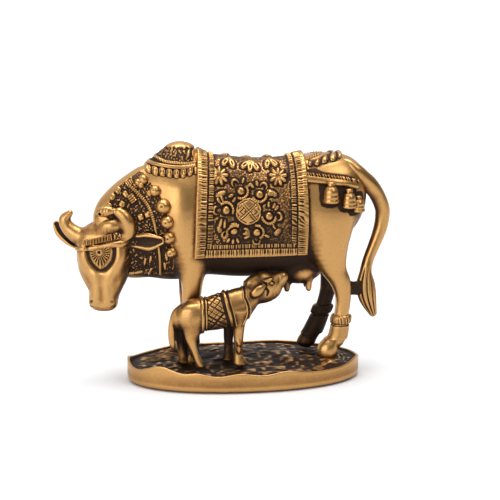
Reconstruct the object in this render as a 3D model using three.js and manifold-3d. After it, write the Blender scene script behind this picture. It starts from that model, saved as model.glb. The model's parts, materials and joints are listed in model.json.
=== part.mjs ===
// A small cast brass group from India: a humped cow in festival harness, her head lowered and turned,
// stands over her suckling calf on an oval patch of ground. Cow, calf and ground are one casting.
//
// Millimetres, +Z up. The origin is the centre of the flat underside. The cow looks along -X and her
// left side, the one with the calf, faces -Y.
//
// The animals are free forms. Their stations are shares of their own height, in hundredths: the cow's
// from the ground to the top of her hump, the calf's from the ground to its withers.

import * as THREE from "three";
import { mergeVertices } from "three/addons/utils/BufferGeometryUtils.js";
import Module from "manifold-3d";

const COW_HEIGHT = 100;
const COW_SET_BACK = 3.5; // the cow's middle plane, behind the middle of the ground
const CALF_HEIGHT = 35;
const CALF_PLACE_X = -14;
const CALF_PLACE_Y = -13.5;

const GROUND_LENGTH = 106.6;
const GROUND_DEPTH = 56;
const GROUND_HEIGHT = 9.5; // the ground under the hooves, above the underside
const GROUND_ROUNDING = 2.4; // of the wall's lower edge
const RIM_HEIGHT = 8; // the low stretches of the rim
const RIM_WIDTH = 1.8;
const DISH_DROP = 1; // the ground just inside the rim, below the rim's low stretches

const CLOTH_THICKNESS = 1.3;
const CLOTH_BORDER = 4; // the outer hatched strip
const CLOTH_GROOVE = 1.1;
const CLOTH_BRAID = 2.3; // the inner hatched strip
const CLOTH_RELIEF = 0.7;
const FLOWER_RADIUS = 3.6;
const FLOWER_RING_RADIUS = 9.5;
const ROSETTE_RADIUS = 5.9;
const FLOWER_RELIEF = 1.1;

const COLLAR_BELL_WIDTH = 5.4;
const COLLAR_BELLS = 6;
const CORD_RADIUS = 0.9;
const PETAL_LENGTH = 3.4;
const PETAL_WIDTH = 2.8;
const STRAP_WIDTH = 3.4;
const STRAP_THICKNESS = 1.6;
const RUMP_BELL_HEIGHT = 9;
const RUMP_BELL_RADIUS = 3;
const ANKLET_PROUD = 1.3;
const CUFF_PROUD = 0.7;
const GIRTH_PROUD = 0.5;

const X_AXIS = new THREE.Vector3(1, 0, 0);
const Y_AXIS = new THREE.Vector3(0, 1, 0);
const Z_AXIS = new THREE.Vector3(0, 0, 1);
const DOWN = new THREE.Vector3(0, 0, -1);
const LEFT = -1; // the cow's left side, towards -Y
const RIGHT = 1;
const FULL_TURN = 2 * Math.PI;

const wasm = await Module();
wasm.setup();

// Solids

function solidOf(geometry) {
  const bare = geometry.clone();
  bare.deleteAttribute("normal");
  bare.deleteAttribute("uv");
  const merged = mergeVertices(bare, 1e-4);
  return new wasm.Manifold(
    new wasm.Mesh({
      numProp: 3,
      vertProperties: merged.attributes.position.array,
      triVerts: new Uint32Array(merged.index.array),
    }),
  );
}

function geometryOf(solid) {
  const mesh = solid.getMesh();
  const geometry = new THREE.BufferGeometry();
  geometry.setAttribute("position", new THREE.BufferAttribute(mesh.vertProperties, 3));
  geometry.setIndex(new THREE.BufferAttribute(mesh.triVerts, 1));
  geometry.computeVertexNormals();
  return geometry;
}

const fuse = (solids) => solids.reduce((whole, next) => whole.add(next));

function moved(geometry, matrix) {
  return solidOf(geometry.clone().applyMatrix4(matrix));
}

// A closed surface from rings of the same number of points, each end drawn together in one point.
// The rings turn anticlockwise as seen from the end that the list runs to.
function skinOver(rings, startPoint, endPoint) {
  const sides = rings[0].length;
  const points = [startPoint, ...rings.flat(), endPoint];
  const last = points.length - 1;
  const at = (ring, side) => 1 + ring * sides + (side % sides);
  const faces = [];
  for (let side = 0; side < sides; side++) {
    faces.push(0, at(0, side + 1), at(0, side));
    for (let ring = 0; ring + 1 < rings.length; ring++) {
      const corners = [at(ring, side), at(ring, side + 1), at(ring + 1, side + 1), at(ring + 1, side)];
      faces.push(corners[0], corners[1], corners[2], corners[0], corners[2], corners[3]);
    }
    faces.push(last, at(rings.length - 1, side), at(rings.length - 1, side + 1));
  }
  const geometry = new THREE.BufferGeometry().setFromPoints(points);
  geometry.setIndex(faces);
  return geometry;
}

const signedPower = (value, power) => Math.sign(value) * Math.abs(value) ** power;

// One point of an oval: 2 is an ellipse, and a higher squareness has fuller corners.
function ovalPoint(turn, squareness) {
  const power = 2 / squareness;
  return [signedPower(Math.cos(turn), power), signedPower(Math.sin(turn), power)];
}

// A mass of the body: an oval carried along a smooth curve through its stations. A station is
// [x, y, z, half size across, half size at right angles to that]. Each end is a dome. Where facing is
// given, every section faces that way, whatever way the mass runs.
function limb(stations, options = {}) {
  const { across = Y_AXIS, sides = 10, steps = 1, squareness = 2, dome = 1, facing } = options;
  const path = new THREE.CatmullRomCurve3(stations.map((s) => new THREE.Vector3(s[0], s[1], s[2])));
  const sizes = new THREE.CatmullRomCurve3(stations.map((s) => new THREE.Vector3(s[3], s[4], 0)));
  const spans = (stations.length - 1) * steps;

  const ringAt = (share, shrink, push) => {
    const along = facing ?? path.getTangent(share);
    const sideways = across.clone().addScaledVector(along, -across.dot(along)).normalize();
    const upright = along.clone().cross(sideways);
    const size = sizes.getPoint(share);
    const centre = path.getPoint(share).addScaledVector(along, push * Math.min(size.x, size.y));
    if (shrink === 0) return centre;
    return Array.from({ length: sides }, (_, side) => {
      const [u, w] = ovalPoint((side / sides) * FULL_TURN, squareness);
      return centre
        .clone()
        .addScaledVector(sideways, u * size.x * shrink)
        .addScaledVector(upright, w * size.y * shrink);
    });
  };

  const domeAngle = Math.PI / 5;
  const domeRing = (share, direction) =>
    ringAt(share, Math.cos(domeAngle), direction * dome * Math.sin(domeAngle));
  const rings = [domeRing(0, -1)];
  for (let span = 0; span <= spans; span++) rings.push(ringAt(span / spans, 1, 0));
  rings.push(domeRing(1, 1));
  return solidOf(skinOver(rings, ringAt(0, 0, -dome), ringAt(1, 0, dome)));
}

// The section of a limb at a place along one axis, straight between its stations.
function sectionAt(stations, axis, place) {
  const passed = stations.findIndex((s, i) => i > 0 && (s[axis] - place) * (stations[0][axis] - place) <= 0);
  const next = passed < 0 ? stations.length - 1 : passed;
  const [from, to] = [stations[next - 1], stations[next]];
  const share = (place - from[axis]) / (to[axis] - from[axis]);
  return from.map((value, i) => value + (to[i] - value) * share);
}

// The same limb with bands worn round it. Each step of the bands' profile is a place along the axis
// and how far the band stands proud there.
function worn(stations, axis, profile) {
  const [start, end] = [profile[0][0], profile[profile.length - 1][0]];
  const outside = (from, to) => (s) => (s[axis] - from) * (to - from) < 0;
  const bands = profile.map(([place, proud]) => {
    const [x, y, z, across, deep] = sectionAt(stations, axis, place);
    return [x, y, z, across + proud, deep + proud];
  });
  return [...stations.filter(outside(start, end)), ...bands, ...stations.filter(outside(end, start))];
}

// The cow

const cowShare = COW_HEIGHT / 100;

function cowStations(stations) {
  return stations.map(([x, y, z, across, deep]) => [
    x * cowShare,
    COW_SET_BACK + y * cowShare,
    GROUND_HEIGHT + z * cowShare,
    across * cowShare,
    deep * cowShare,
  ]);
}

const cowLimb = (stations, options) => limb(cowStations(stations), options);
const mirrored = (stations) => stations.map(([x, y, ...rest]) => [x, -y, ...rest]);

// Neck, barrel and rump are one mass. The neck swings to the cow's left, towards the lowered head.
const BARREL = [
  [-60, -4.5, 60, 8, 15.5],
  [-52, -2.5, 60.5, 9.5, 22],
  [-42, -0.5, 63.4, 12, 25.6],
  [-31, 0, 64.8, 15, 28.3],
  [-17, 0, 65.4, 16.5, 27],
  [1, 0, 63.7, 17, 26.6],
  [18, 0, 64.6, 16.5, 25.8],
  [33, 0, 69.2, 15, 23.6],
  [43, 0, 73.5, 12.3, 19],
  [49, 0, 76, 8.3, 13.2],
];
const BARREL_SQUARENESS = 2.2;
const BARREL_SECTIONS = 12;

// The barrel's section at x, by a smooth curve through the stations.
function barrelAt(x) {
  const after = BARREL.findIndex((station) => station[0] >= x);
  const next = after < 0 ? BARREL.length - 1 : Math.max(1, after);
  const [from, to] = [BARREL[next - 1], BARREL[next]];
  const span = to[0] - from[0];
  const slope = (station, column) => {
    const before = BARREL[Math.max(0, station - 1)];
    const beyond = BARREL[Math.min(BARREL.length - 1, station + 1)];
    return (beyond[column] - before[column]) / (beyond[0] - before[0]);
  };
  const t = (x - from[0]) / span;
  const section = from.map((value, column) => {
    const ease = t * t * (3 - 2 * t);
    const bend = slope(next - 1, column) * t * (1 - t) ** 2 - slope(next, column) * t * t * (1 - t);
    return value + (to[column] - value) * ease + span * bend;
  });
  section[0] = x;
  return section;
}

// The place of a carved piece on the barrel's side at x and height z, in the cow's shares: local Z
// points out of the skin, local Y up it. The piece is lifted off the skin by lift.
function onSide(x, z, side, lift = 0) {
  const [, middle, centre, across, deep] = barrelAt(x);
  const squareness = BARREL_SQUARENESS;
  const height = Math.max(-0.995, Math.min(0.995, (z - centre) / deep));
  const reach = (1 - Math.abs(height) ** squareness) ** (1 / squareness);
  const outward = new THREE.Vector3(
    0,
    (side * reach ** (squareness - 1)) / across,
    signedPower(height, squareness - 1) / deep,
  ).normalize();
  const along = X_AXIS.clone().multiplyScalar(-side);
  const place = new THREE.Matrix4().makeBasis(along, outward.clone().cross(along), outward);
  const point = new THREE.Vector3(x, middle + side * across * reach, z).multiplyScalar(cowShare);
  point.add(new THREE.Vector3(0, COW_SET_BACK, GROUND_HEIGHT)).addScaledVector(outward, lift);
  return place.setPosition(point);
}

function cowBody() {
  const [front, back] = [BARREL[0][0], BARREL[BARREL.length - 1][0]];
  const sections = Array.from({ length: BARREL_SECTIONS + 1 }, (_, i) =>
    barrelAt(THREE.MathUtils.lerp(front, back, i / BARREL_SECTIONS)),
  );
  const barrel = cowLimb(sections, { sides: 18, squareness: BARREL_SQUARENESS, dome: 0.45, facing: X_AXIS });
  const hump = cowLimb([[-36, 0, 84.6, 7, 5.8], [-32, 0, 88.8, 7.4, 7.8], [-27, 0, 90.2, 7.2, 8.3], [-21, 0, 85.4, 6.5, 5.4]], {
    sides: 8,
  });
  const crest = cowLimb(
    [[-63, -5, 67, 4, 4], [-59, -4, 73, 4.5, 4.4], [-53, -2, 77.8, 5, 4.8], [-46, 0, 82.6, 5, 4]],
    { sides: 8 },
  );
  const udder = cowLimb([[19, 0, 40, 6, 5], [25.5, 0, 39, 8, 6.4], [31, 0, 40.5, 6.5, 6]], { sides: 8 });
  const teats = [20, 30].flatMap((x) =>
    [-3.5, 3.5].map((y) => cowLimb([[x, y, 36, 2, 2], [x, y, 30.6, 1.5, 1.5]], { sides: 5 })),
  );
  return [barrel, hump, crest, udder, ...teats];
}

// Each leg is one mass from the shoulder or thigh down to the hoof, with level sections. Anklet and
// cuff are worn round it above the hoof.
const FORELEG = [
  [-28.5, -8.6, 81, 4.4, 4.5],
  [-27.8, -9.4, 70, 6.5, 7.2],
  [-26.6, -10, 57, 6, 6.6],
  [-24.1, -9.8, 46, 5.1, 6.4],
  [-23.9, -9.3, 36, 4.3, 4.9],
  [-24.4, -9, 27, 3.7, 4],
  [-24.5, -9, 17, 3, 3.2],
  [-24.6, -9, 8, 3.2, 3.4],
  [-25.3, -9, 4, 4, 4.6],
  [-25.8, -9, 0, 4.4, 5.4],
];
const NEAR_HINDLEG = [
  [37, -8, 76, 7, 11],
  [37.6, -9.2, 68, 7.6, 12.2],
  [37.6, -9.6, 60, 7.2, 11.2],
  [38, -10, 51, 6, 8.8],
  [40, -9.8, 42, 4.6, 6.2],
  [43.6, -9.6, 35, 3.8, 4.8],
  [45, -9.5, 27, 3.3, 3.6],
  [44.2, -9.5, 19, 3.3, 3.5],
  [42.4, -9.5, 9, 3.6, 3.9],
  [40.2, -9.5, 4, 4.2, 5],
  [38.2, -9.5, 0, 4.4, 5.6],
];
// The far hind leg steps forward.
const FAR_HINDLEG = [
  [37, 8, 76, 7, 11],
  [38, 9.5, 60, 7.2, 11],
  [39.5, 10, 50, 6, 8.4],
  [41.8, 9.8, 41, 4.6, 5.8],
  [42.2, 9.5, 33.6, 3.7, 4.6],
  [40.9, 9.5, 25.4, 3.3, 3.7],
  [38.6, 9.5, 17.7, 3.3, 3.6],
  [34.9, 9.5, 8.6, 3.6, 4],
  [32.2, 9.5, 4, 4, 4.8],
  [29.8, 9.5, -0.5, 4.2, 5.6],
];
const ANKLET_TOP = 20;
const ANKLET_END = 15.6;
const CUFF_END = 8.6;
const BAND_EDGE = 0.3;

function cowLeg(leg) {
  const [anklet, cuff] = [ANKLET_PROUD / cowShare, CUFF_PROUD / cowShare];
  const profile = [
    [ANKLET_TOP, 0],
    [ANKLET_TOP - BAND_EDGE, anklet],
    [ANKLET_END + BAND_EDGE, anklet],
    [ANKLET_END, cuff],
    [CUFF_END + BAND_EDGE, cuff],
    [CUFF_END, 0],
  ];
  return cowLimb(worn(leg, 2, profile), { sides: 8, dome: 0.3, facing: DOWN });
}

const cowLegs = () => [FORELEG, mirrored(FORELEG), NEAR_HINDLEG, FAR_HINDLEG].map(cowLeg);

// The tail leaves the rump, swings out behind and comes back to the hock, where a web of metal left
// by the mould's gate joins its tuft to the leg.
const TAIL = [
  [41, 0, 89, 3.2, 3],
  [47.5, 0, 88.6, 3.6, 3.8],
  [54, 0, 82.6, 3.5, 3.9],
  [59.3, 0, 76.5, 3.3, 3.5],
  [62.9, -0.3, 71, 3.1, 3.2],
  [64.4, -0.6, 65.5, 3, 3.1],
  [63.4, -1, 57, 2.8, 2.8],
  [60.6, -2, 50, 2.4, 2.4],
  [58, -3, 44, 2.1, 2.1],
  [56.6, -4, 38.5, 2.4, 2.4],
  [56.7, -4.4, 32.5, 3, 3.8],
  [57.5, -5, 26, 2.8, 3.6],
  [59, -5.5, 18.8, 1.4, 1.8],
];
const TAIL_WEB = [[47.5, -8.6, 31.8, 1.6, 3.8], [54.5, -5.4, 31, 1.6, 4]];

const cowTail = () => [cowLimb(TAIL, { sides: 8, dome: 0.6 }), cowLimb(TAIL_WEB, { sides: 6, dome: 0.2 })];

// The head is turned towards the onlooker: FACE_ACROSS runs from its right cheek to its left. Its places
// are measured across the face from HEAD_AT, out of the face, and up from the ground.
const HEAD_AT = [-63.9, -5.6];
const FACE_TURN = THREE.MathUtils.degToRad(17);
const FACE_ACROSS = new THREE.Vector3(Math.cos(FACE_TURN), -Math.sin(FACE_TURN), 0);
const FACE_OUT = new THREE.Vector3(-Math.sin(FACE_TURN), -Math.cos(FACE_TURN), 0);
const FACE_MIDDLE = 1.7;
const SKULL_SQUARENESS = 2.6;

const SKULL = [
  [1.3, -0.4, 60.3, 7.8, 5.3],
  [1.4, 0, 56, 11.6, 7.8],
  [1.2, 0, 50, 12.2, 8.1],
  [1.3, 0.4, 45.5, 11.7, 7.8],
  [1.6, 1.2, 41, 9.8, 6.9],
  [1.9, 2.2, 37, 7.8, 5.7],
  [1.6, 3.1, 33, 6.7, 4.9],
  [1.3, 3.8, 29, 6.5, 4.5],
];
const BROW = [[8.1, 5.1, 52, 2.8, 2.5], [6.2, 5.6, 45, 2.2, 2.2], [3.6, 6, 41.5, 1.4, 1.4]];
const NOSE_RIDGE = [[2.6, 6.5, 38, 1.7, 1.6], [3, 6.8, 32, 1.8, 1.6]];
const BROW_BAND = [[59, 0], [58.7, 1], [55.4, 0.6], [55, 1.3], [53.4, 1.3], [53.1, 0]];
const HORN = [
  [10.2, 2, 57.4, 3.6, 3.6],
  [12.8, 2, 60.8, 3.5, 3.5],
  [13.2, 3, 64.6, 3.3, 3.3],
  [11.9, 3.6, 68, 3, 3],
  [9.6, 4, 70.2, 2.4, 2.4],
];
const FAR_HORN = [
  [-6, 1, 56.8, 4.2, 4.2],
  [-11, 1.4, 58.9, 3.8, 3.8],
  [-14.8, 1.8, 62.2, 3.1, 3.1],
  [-16, 2.2, 65.8, 2.6, 2.6],
  [-13.4, 2.4, 68.9, 1.3, 1.3],
];
const FORELOCK = [
  [1.8, 2.4, 61.6, 3, 3],
  [3.6, 3.4, 63.4, 3.5, 3.5],
  [6, 3.6, 64, 3.6, 3.6],
  [9, 2.6, 64.2, 3.2, 3.2],
];
const EAR = [
  [11, 0.6, 56.4, 1.8, 1.8],
  [18.2, 2, 57, 3.6, 1.5],
  [23, 3.2, 57.3, 4, 1.4],
  [28.6, 4.4, 58.3, 1.8, 1.1],
];
const FAR_EAR = [
  [-10.6, -0.4, 53.2, 1.9, 1.8],
  [-15, -1.4, 56.4, 3.2, 1.5],
  [-18.9, -2, 60, 3.4, 1.4],
  [-21.6, -2.4, 62.8, 1.7, 1.1],
];

// Stations of the head in the cow's shares. Where side is given, -1 or 1, they are measured from the
// face's middle.
function onFace(stations, side) {
  return stations.map(([across, out, z, ...sizes]) => {
    const off = side ? FACE_MIDDLE + side * across : across;
    const x = HEAD_AT[0] + off * FACE_ACROSS.x + out * FACE_OUT.x;
    const y = HEAD_AT[1] + off * FACE_ACROSS.y + out * FACE_OUT.y;
    return [x, y, z, ...sizes];
  });
}

// An ear is a leaf hollowed from the side that hollow points to.
function leafEar(stations, across, hollow) {
  const leaf = cowLimb(stations, { across, sides: 6 });
  const inside = stations.slice(1).map(([x, y, z, wide, thick]) => {
    const centre = new THREE.Vector3(x, y, z).addScaledVector(hollow, thick);
    return [...centre.toArray(), wide * 0.68, thick * 0.9];
  });
  return leaf.subtract(cowLimb(inside, { across, sides: 5 }));
}

function cowHead() {
  const skull = cowLimb(worn(onFace(SKULL), 2, BROW_BAND), {
    across: FACE_ACROSS,
    sides: 12,
    squareness: SKULL_SQUARENESS,
    dome: 0.7,
    facing: DOWN,
  });
  const ridges = [-1, 1].flatMap((side) =>
    [BROW, NOSE_RIDGE].map((ridge) => cowLimb(onFace(ridge, side), { sides: 6 })),
  );
  const forelock = cowLimb(onFace(FORELOCK), { sides: 8 });
  const nearEar = leafEar(onFace(EAR), Z_AXIS, new THREE.Vector3(-0.3, -0.95, -0.05));
  const farEar = leafEar(onFace(FAR_EAR), new THREE.Vector3(0.72, 0, 0.66).normalize(), new THREE.Vector3(0.15, -0.98, 0.1));
  const horns = [HORN, FAR_HORN].map((horn) => cowLimb(onFace(horn), { sides: 7 }));
  return [skull, ...ridges, ...horns, forelock, nearEar, farEar, ...headOrnaments()];
}

// A leaf-shaped medallion lies on the forehead and a bead stands between the horns.
function headOrnaments() {
  const outline = new THREE.Shape();
  outline.moveTo(0, -5.2);
  outline.quadraticCurveTo(4.6, -1.5, 4.2, 2.6);
  outline.quadraticCurveTo(0, 5.4, -4.2, 2.6);
  outline.quadraticCurveTo(-4.6, -1.5, 0, -5.2);
  const leaf = new THREE.ExtrudeGeometry(outline, { depth: 2.4, bevelEnabled: false, curveSegments: 3 });
  leaf.scale(cowShare, cowShare, cowShare);
  const leafPlace = new THREE.Matrix4().makeBasis(FACE_ACROSS, Z_AXIS, FACE_OUT);
  const [leafAt, beadAt] = cowStations(onFace([[2, 7, 50.3], [3.4, 4, 70.6]])).map((s) => s.slice(0, 3));
  leafPlace.setPosition(...leafAt);
  return [moved(leaf, leafPlace), bead(5.6, 4.6, 4.6, new THREE.Matrix4().setPosition(...beadAt), 8)];
}

// The harness

// A bead or petal is a ball squeezed to its own width, height and depth.
function bead(width, height, depth, place, sides = 5) {
  const ball = new THREE.SphereGeometry(0.5, sides, Math.ceil(sides / 2));
  return moved(ball.scale(width, height, depth), place);
}

// A flower is a plate with a lobed edge, sunk in the cloth by as much as it stands proud.
function flower(radius, lobes, place) {
  const outline = new THREE.Shape();
  const steps = lobes * 2;
  for (let step = 0; step < steps; step++) {
    const turn = (step / steps) * FULL_TURN;
    const reach = radius * (step % 2 ? 0.72 : 1);
    outline[step ? "lineTo" : "moveTo"](reach * Math.cos(turn), reach * Math.sin(turn));
  }
  const plate = new THREE.ExtrudeGeometry(outline, { depth: 2 * FLOWER_RELIEF, bevelEnabled: false });
  return moved(plate.translate(0, 0, -FLOWER_RELIEF), place);
}

function flowerWithEye(radius, lobes, place) {
  return flower(radius, lobes, place).add(bead(radius * 0.8, radius * 0.8, 3 * FLOWER_RELIEF, place));
}

// The saddle cloth lies over the barrel from hem to hem. Its front edge leans forward to the hem.
const CLOTH = { frontTop: -21, frontHem: -23.4, back: 27.5, hemFront: 49.1, hemBack: 49.1 };
const CLOTH_SQUARENESS = 2.9;
const CLOTH_DRAPE = 114; // from hem to hem, over the back
const CLOTH_EMBEDDED = 3; // how deep its edges are sunk in the barrel

// Places along a panel edged with strip, groove and braid, each with its height over the field.
function borderProfile(length, fieldSpans) {
  const wall = 0.25;
  const braidStart = CLOTH_BORDER + CLOTH_GROOVE;
  const fieldStart = braidStart + CLOTH_BRAID + wall;
  const edge = [
    [0, CLOTH_RELIEF],
    [CLOTH_BORDER, CLOTH_RELIEF],
    [CLOTH_BORDER + CLOTH_GROOVE / 2, 0],
    [braidStart, CLOTH_RELIEF * 0.8],
    [braidStart + CLOTH_BRAID, CLOTH_RELIEF * 0.8],
    [fieldStart, 0],
  ];
  const field = Array.from({ length: fieldSpans - 1 }, (_, i) => [
    THREE.MathUtils.lerp(fieldStart, length - fieldStart, (i + 1) / fieldSpans),
    0,
  ]);
  return [...edge, ...field, ...edge.map(([at, raise]) => [length - at, raise]).reverse()];
}

// A point of the cloth. run goes from the front edge, 0, to the back, 1; drop from the near hem, -1,
// over the ridge, 0, to the far hem, 1.
function clothPoint(run, drop, lift) {
  const fall = Math.abs(drop);
  const front = THREE.MathUtils.lerp(CLOTH.frontTop, CLOTH.frontHem, fall);
  const x = THREE.MathUtils.lerp(front, CLOTH.back, run);
  const hem = THREE.MathUtils.lerp(CLOTH.hemFront, CLOTH.hemBack, run);
  const [, middle, centre, across, deep] = barrelAt(x);
  const hemTurn = Math.asin(signedPower((hem - centre) / deep, CLOTH_SQUARENESS / 2));
  const turn = THREE.MathUtils.lerp(Math.PI / 2, hemTurn, fall);
  const [u, w] = ovalPoint(turn, THREE.MathUtils.lerp(2.2, CLOTH_SQUARENESS, fall));
  return new THREE.Vector3(
    x * cowShare,
    COW_SET_BACK + (middle + Math.sign(drop) * across * u) * cowShare + Math.sign(drop) * lift * Math.abs(u),
    GROUND_HEIGHT + (centre + deep * w) * cowShare + lift * Math.max(0, w),
  );
}

// The place of a piece worked on the cloth at x and height z, in the cow's shares, as onSide gives it
// for the bare skin.
function onCloth(x, z, side) {
  const pointAt = (share, fall) => {
    const front = THREE.MathUtils.lerp(CLOTH.frontTop, CLOTH.frontHem, fall);
    return clothPoint((x + share - front) / (CLOTH.back - front), side * fall, CLOTH_THICKNESS);
  };
  let [low, high] = [0.01, 0.99];
  for (let halving = 0; halving < 20; halving++) {
    const middle = (low + high) / 2;
    if (pointAt(0, middle).z > GROUND_HEIGHT + z * cowShare) low = middle;
    else high = middle;
  }
  const point = pointAt(0, low);
  const back = pointAt(0.1, low).sub(point);
  const down = pointAt(0, low + 0.01).sub(point);
  const outward = down.cross(back).multiplyScalar(-side).normalize();
  const along = X_AXIS.clone().multiplyScalar(-side);
  along.addScaledVector(outward, -along.dot(outward)).normalize();
  return new THREE.Matrix4().makeBasis(along, outward.clone().cross(along), outward).setPosition(point);
}

function saddleCloth() {
  const length = (CLOTH.back - CLOTH.frontTop) * cowShare;
  const drape = CLOTH_DRAPE * cowShare;
  const runs = borderProfile(length, 2);
  const drops = borderProfile(drape, 10);
  const [columns, rows] = [runs.length, drops.length];
  const pointAt = (row, column, lift) => clothPoint(runs[column][0] / length, (2 * drops[row][0]) / drape - 1, lift);
  const points = [];
  for (let row = 0; row < rows; row++) {
    for (let column = 0; column < columns; column++) {
      const raise = Math.min(CLOTH_RELIEF, runs[column][1] + drops[row][1]);
      points.push(pointAt(row, column, CLOTH_THICKNESS + raise));
    }
  }
  const faces = [];
  for (let row = 0; row + 1 < rows; row++) {
    for (let column = 0; column + 1 < columns; column++) {
      const corner = row * columns + column;
      faces.push(corner, corner + 1, corner + columns + 1, corner, corner + columns + 1, corner + columns);
    }
  }

  // All round the edge a wall goes down into the barrel, and from its foot the solid closes on a core.
  const edge = [];
  for (let column = 0; column < columns - 1; column++) edge.push([0, column]);
  for (let row = 0; row < rows - 1; row++) edge.push([row, columns - 1]);
  for (let column = columns - 1; column > 0; column--) edge.push([rows - 1, column]);
  for (let row = rows - 1; row > 0; row--) edge.push([row, 0]);
  const foot = points.length;
  edge.forEach(([row, column]) => points.push(pointAt(row, column, -CLOTH_EMBEDDED)));
  const core = points.length;
  const [, middle, centre] = barrelAt((CLOTH.frontTop + CLOTH.back) / 2);
  points.push(new THREE.Vector3(...cowStations([[(CLOTH.frontTop + CLOTH.back) / 2, middle, centre]])[0].slice(0, 3)));
  edge.forEach(([row, column], i) => {
    const next = (i + 1) % edge.length;
    const [top, topNext] = [row * columns + column, edge[next][0] * columns + edge[next][1]];
    faces.push(topNext, top, foot + i, topNext, foot + i, foot + next);
    faces.push(foot + next, foot + i, core);
  });
  const geometry = new THREE.BufferGeometry().setFromPoints(points);
  geometry.setIndex(faces);
  return solidOf(geometry);
}

// Six flowers ring a big rosette, two daisies fill the upper corners, and three fans hang from the
// ridge. The far side has the rosette and four flowers alone.
const ROSETTE_AT = { x: 0.5, z: 69.6 };

function clothFlowers() {
  const ringAt = (degrees) => {
    const turn = THREE.MathUtils.degToRad(degrees);
    return [ROSETTE_AT.x + FLOWER_RING_RADIUS * Math.cos(turn), ROSETTE_AT.z + FLOWER_RING_RADIUS * Math.sin(turn)];
  };
  const rosettes = [LEFT, RIGHT].map((side) => flower(ROSETTE_RADIUS, 8, onCloth(ROSETTE_AT.x, ROSETTE_AT.z, side)));
  const near = [50, 110, 170, 230, 290, 350].map((degrees) =>
    flowerWithEye(FLOWER_RADIUS, 5, onCloth(...ringAt(degrees), LEFT)),
  );
  const far = [45, 135, 225, 315].map((degrees) => flower(FLOWER_RADIUS, 5, onCloth(...ringAt(degrees), RIGHT)));
  const daisies = [-13.2, 14.6].map((x) => flower(FLOWER_RADIUS * 1.15, 6, onCloth(x, 84, LEFT)));
  const fans = [-7.5, 1.8, 11].map((x) => bead(8, 5, 3, onCloth(x, 89.4, LEFT), 6));
  return [...rosettes, ...near, ...far, ...daisies, ...fans];
}

// A row of pieces along a curve on the skin, through control points of x and z.
function alongSide(controls, count, side, lift, make) {
  const curve = new THREE.CatmullRomCurve3(controls.map(([x, z]) => new THREE.Vector3(x, 0, z)));
  return curve.getSpacedPoints(count - 1).map((p, i) => make(onSide(p.x, p.z, side, lift), i / (count - 1)));
}

// A cord or strap on the skin, its section half as thick and half as wide as given.
function onSkin(controls, side, halfThick, halfWide, spans) {
  const points = alongSide(controls, spans + 1, side, 0.2, (place) => new THREE.Vector3().setFromMatrixPosition(place));
  return limb(points.map((p) => [...p.toArray(), halfThick, halfWide]), { sides: 6, dome: 0.4 });
}

const COLLAR = [[-46, 83], [-39.5, 76.5], [-35.6, 67], [-34.5, 57], [-33, 48]];
const NECK_CORD = [[-52, 81], [-47, 77], [-42.6, 68.5], [-39.6, 59.5], [-38.6, 49], [-38.2, 42]];
const NECK_BARS = [[-50.7, 75.7], [-54.5, 73], [-46.5, 67.5]];

// Collar of big bells, a cord in front of it and, on the near side, bars of the neck's own garland.
function neckHarness(side) {
  const bells = alongSide(COLLAR, COLLAR_BELLS, side, 0.8, (place, share) => {
    const size = COLLAR_BELL_WIDTH * (0.8 + 0.3 * Math.sin(Math.PI * share));
    return bead(size, size, size * 0.9, place, side === LEFT ? 7 : 5);
  });
  const bars = side === LEFT ? NECK_BARS.map(([x, z]) => bead(4, 3.2, 3, onSide(x, z, side, 0.3))) : [];
  return [...bells, ...bars, onSkin(NECK_CORD, side, CORD_RADIUS, CORD_RADIUS, 6)];
}

// The shoulder cap is a braid under the hump with a fringe of petals below it.
function shoulderCap(side) {
  const braid = onSkin([[-42, 89], [-36, 88.6], [-29, 87.8], [-21, 88]], side, CORD_RADIUS, 1.3 * CORD_RADIUS, 4);
  const count = side === LEFT ? 6 : 4;
  const petals = alongSide([[-42.6, 86], [-36, 85.1], [-29, 84.5], [-24.2, 84.8]], count, side, 0.3, (place) =>
    bead(PETAL_WIDTH, PETAL_LENGTH, 2.4, place),
  );
  return [braid, ...petals];
}

// The crupper goes from the cloth round the rump under the tail. Bells hang from it, and a fringe of
// petals lies above it. The far side has the strap and one bell.
const CRUPPER = [[26, 83.2], [34, 81.4], [42, 78.6], [49.5, 75]];

function rumpBell() {
  const profile = [[0, 0], [1, 0], [1, 0.22], [0.9, 0.4], [0.55, 0.75], [0.42, 1], [0, 1]];
  const outline = profile.map(([r, h]) => new THREE.Vector2(r * RUMP_BELL_RADIUS, (h - 1) * RUMP_BELL_HEIGHT));
  return new THREE.LatheGeometry(outline, 6);
}

function crupper(side) {
  const strap = onSkin(CRUPPER, side, STRAP_THICKNESS / 2, STRAP_WIDTH / 2, 4);
  const places = side === LEFT ? [[35.4, 81], [42.6, 78.6], [48.6, 75.6]] : [[40, 79.5]];
  const bells = places.map(([x, z]) => moved(rumpBell(), onSide(x, z, side, 0.3)));
  const petals = alongSide([[29.5, 87.6], [33.5, 88.6], [37.5, 89.6], [41.5, 90]], 4, side, 0.2, (place) =>
    bead(PETAL_WIDTH, PETAL_LENGTH, 2.2, place),
  );
  return side === LEFT ? [strap, ...bells, ...petals] : [strap, ...bells];
}

function harness() {
  const sides = [LEFT, RIGHT].flatMap((side) => [...neckHarness(side), ...shoulderCap(side), ...crupper(side)]);
  return [saddleCloth(), ...clothFlowers(), ...sides];
}

// The calf

const calfShare = CALF_HEIGHT / 100;

function calfLimb(stations, options) {
  const placed = stations.map(([x, y, z, across, deep]) => [
    CALF_PLACE_X + x * calfShare,
    CALF_PLACE_Y + y * calfShare,
    GROUND_HEIGHT + z * calfShare,
    across * calfShare,
    deep * calfShare,
  ]);
  return limb(placed, options);
}

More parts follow.
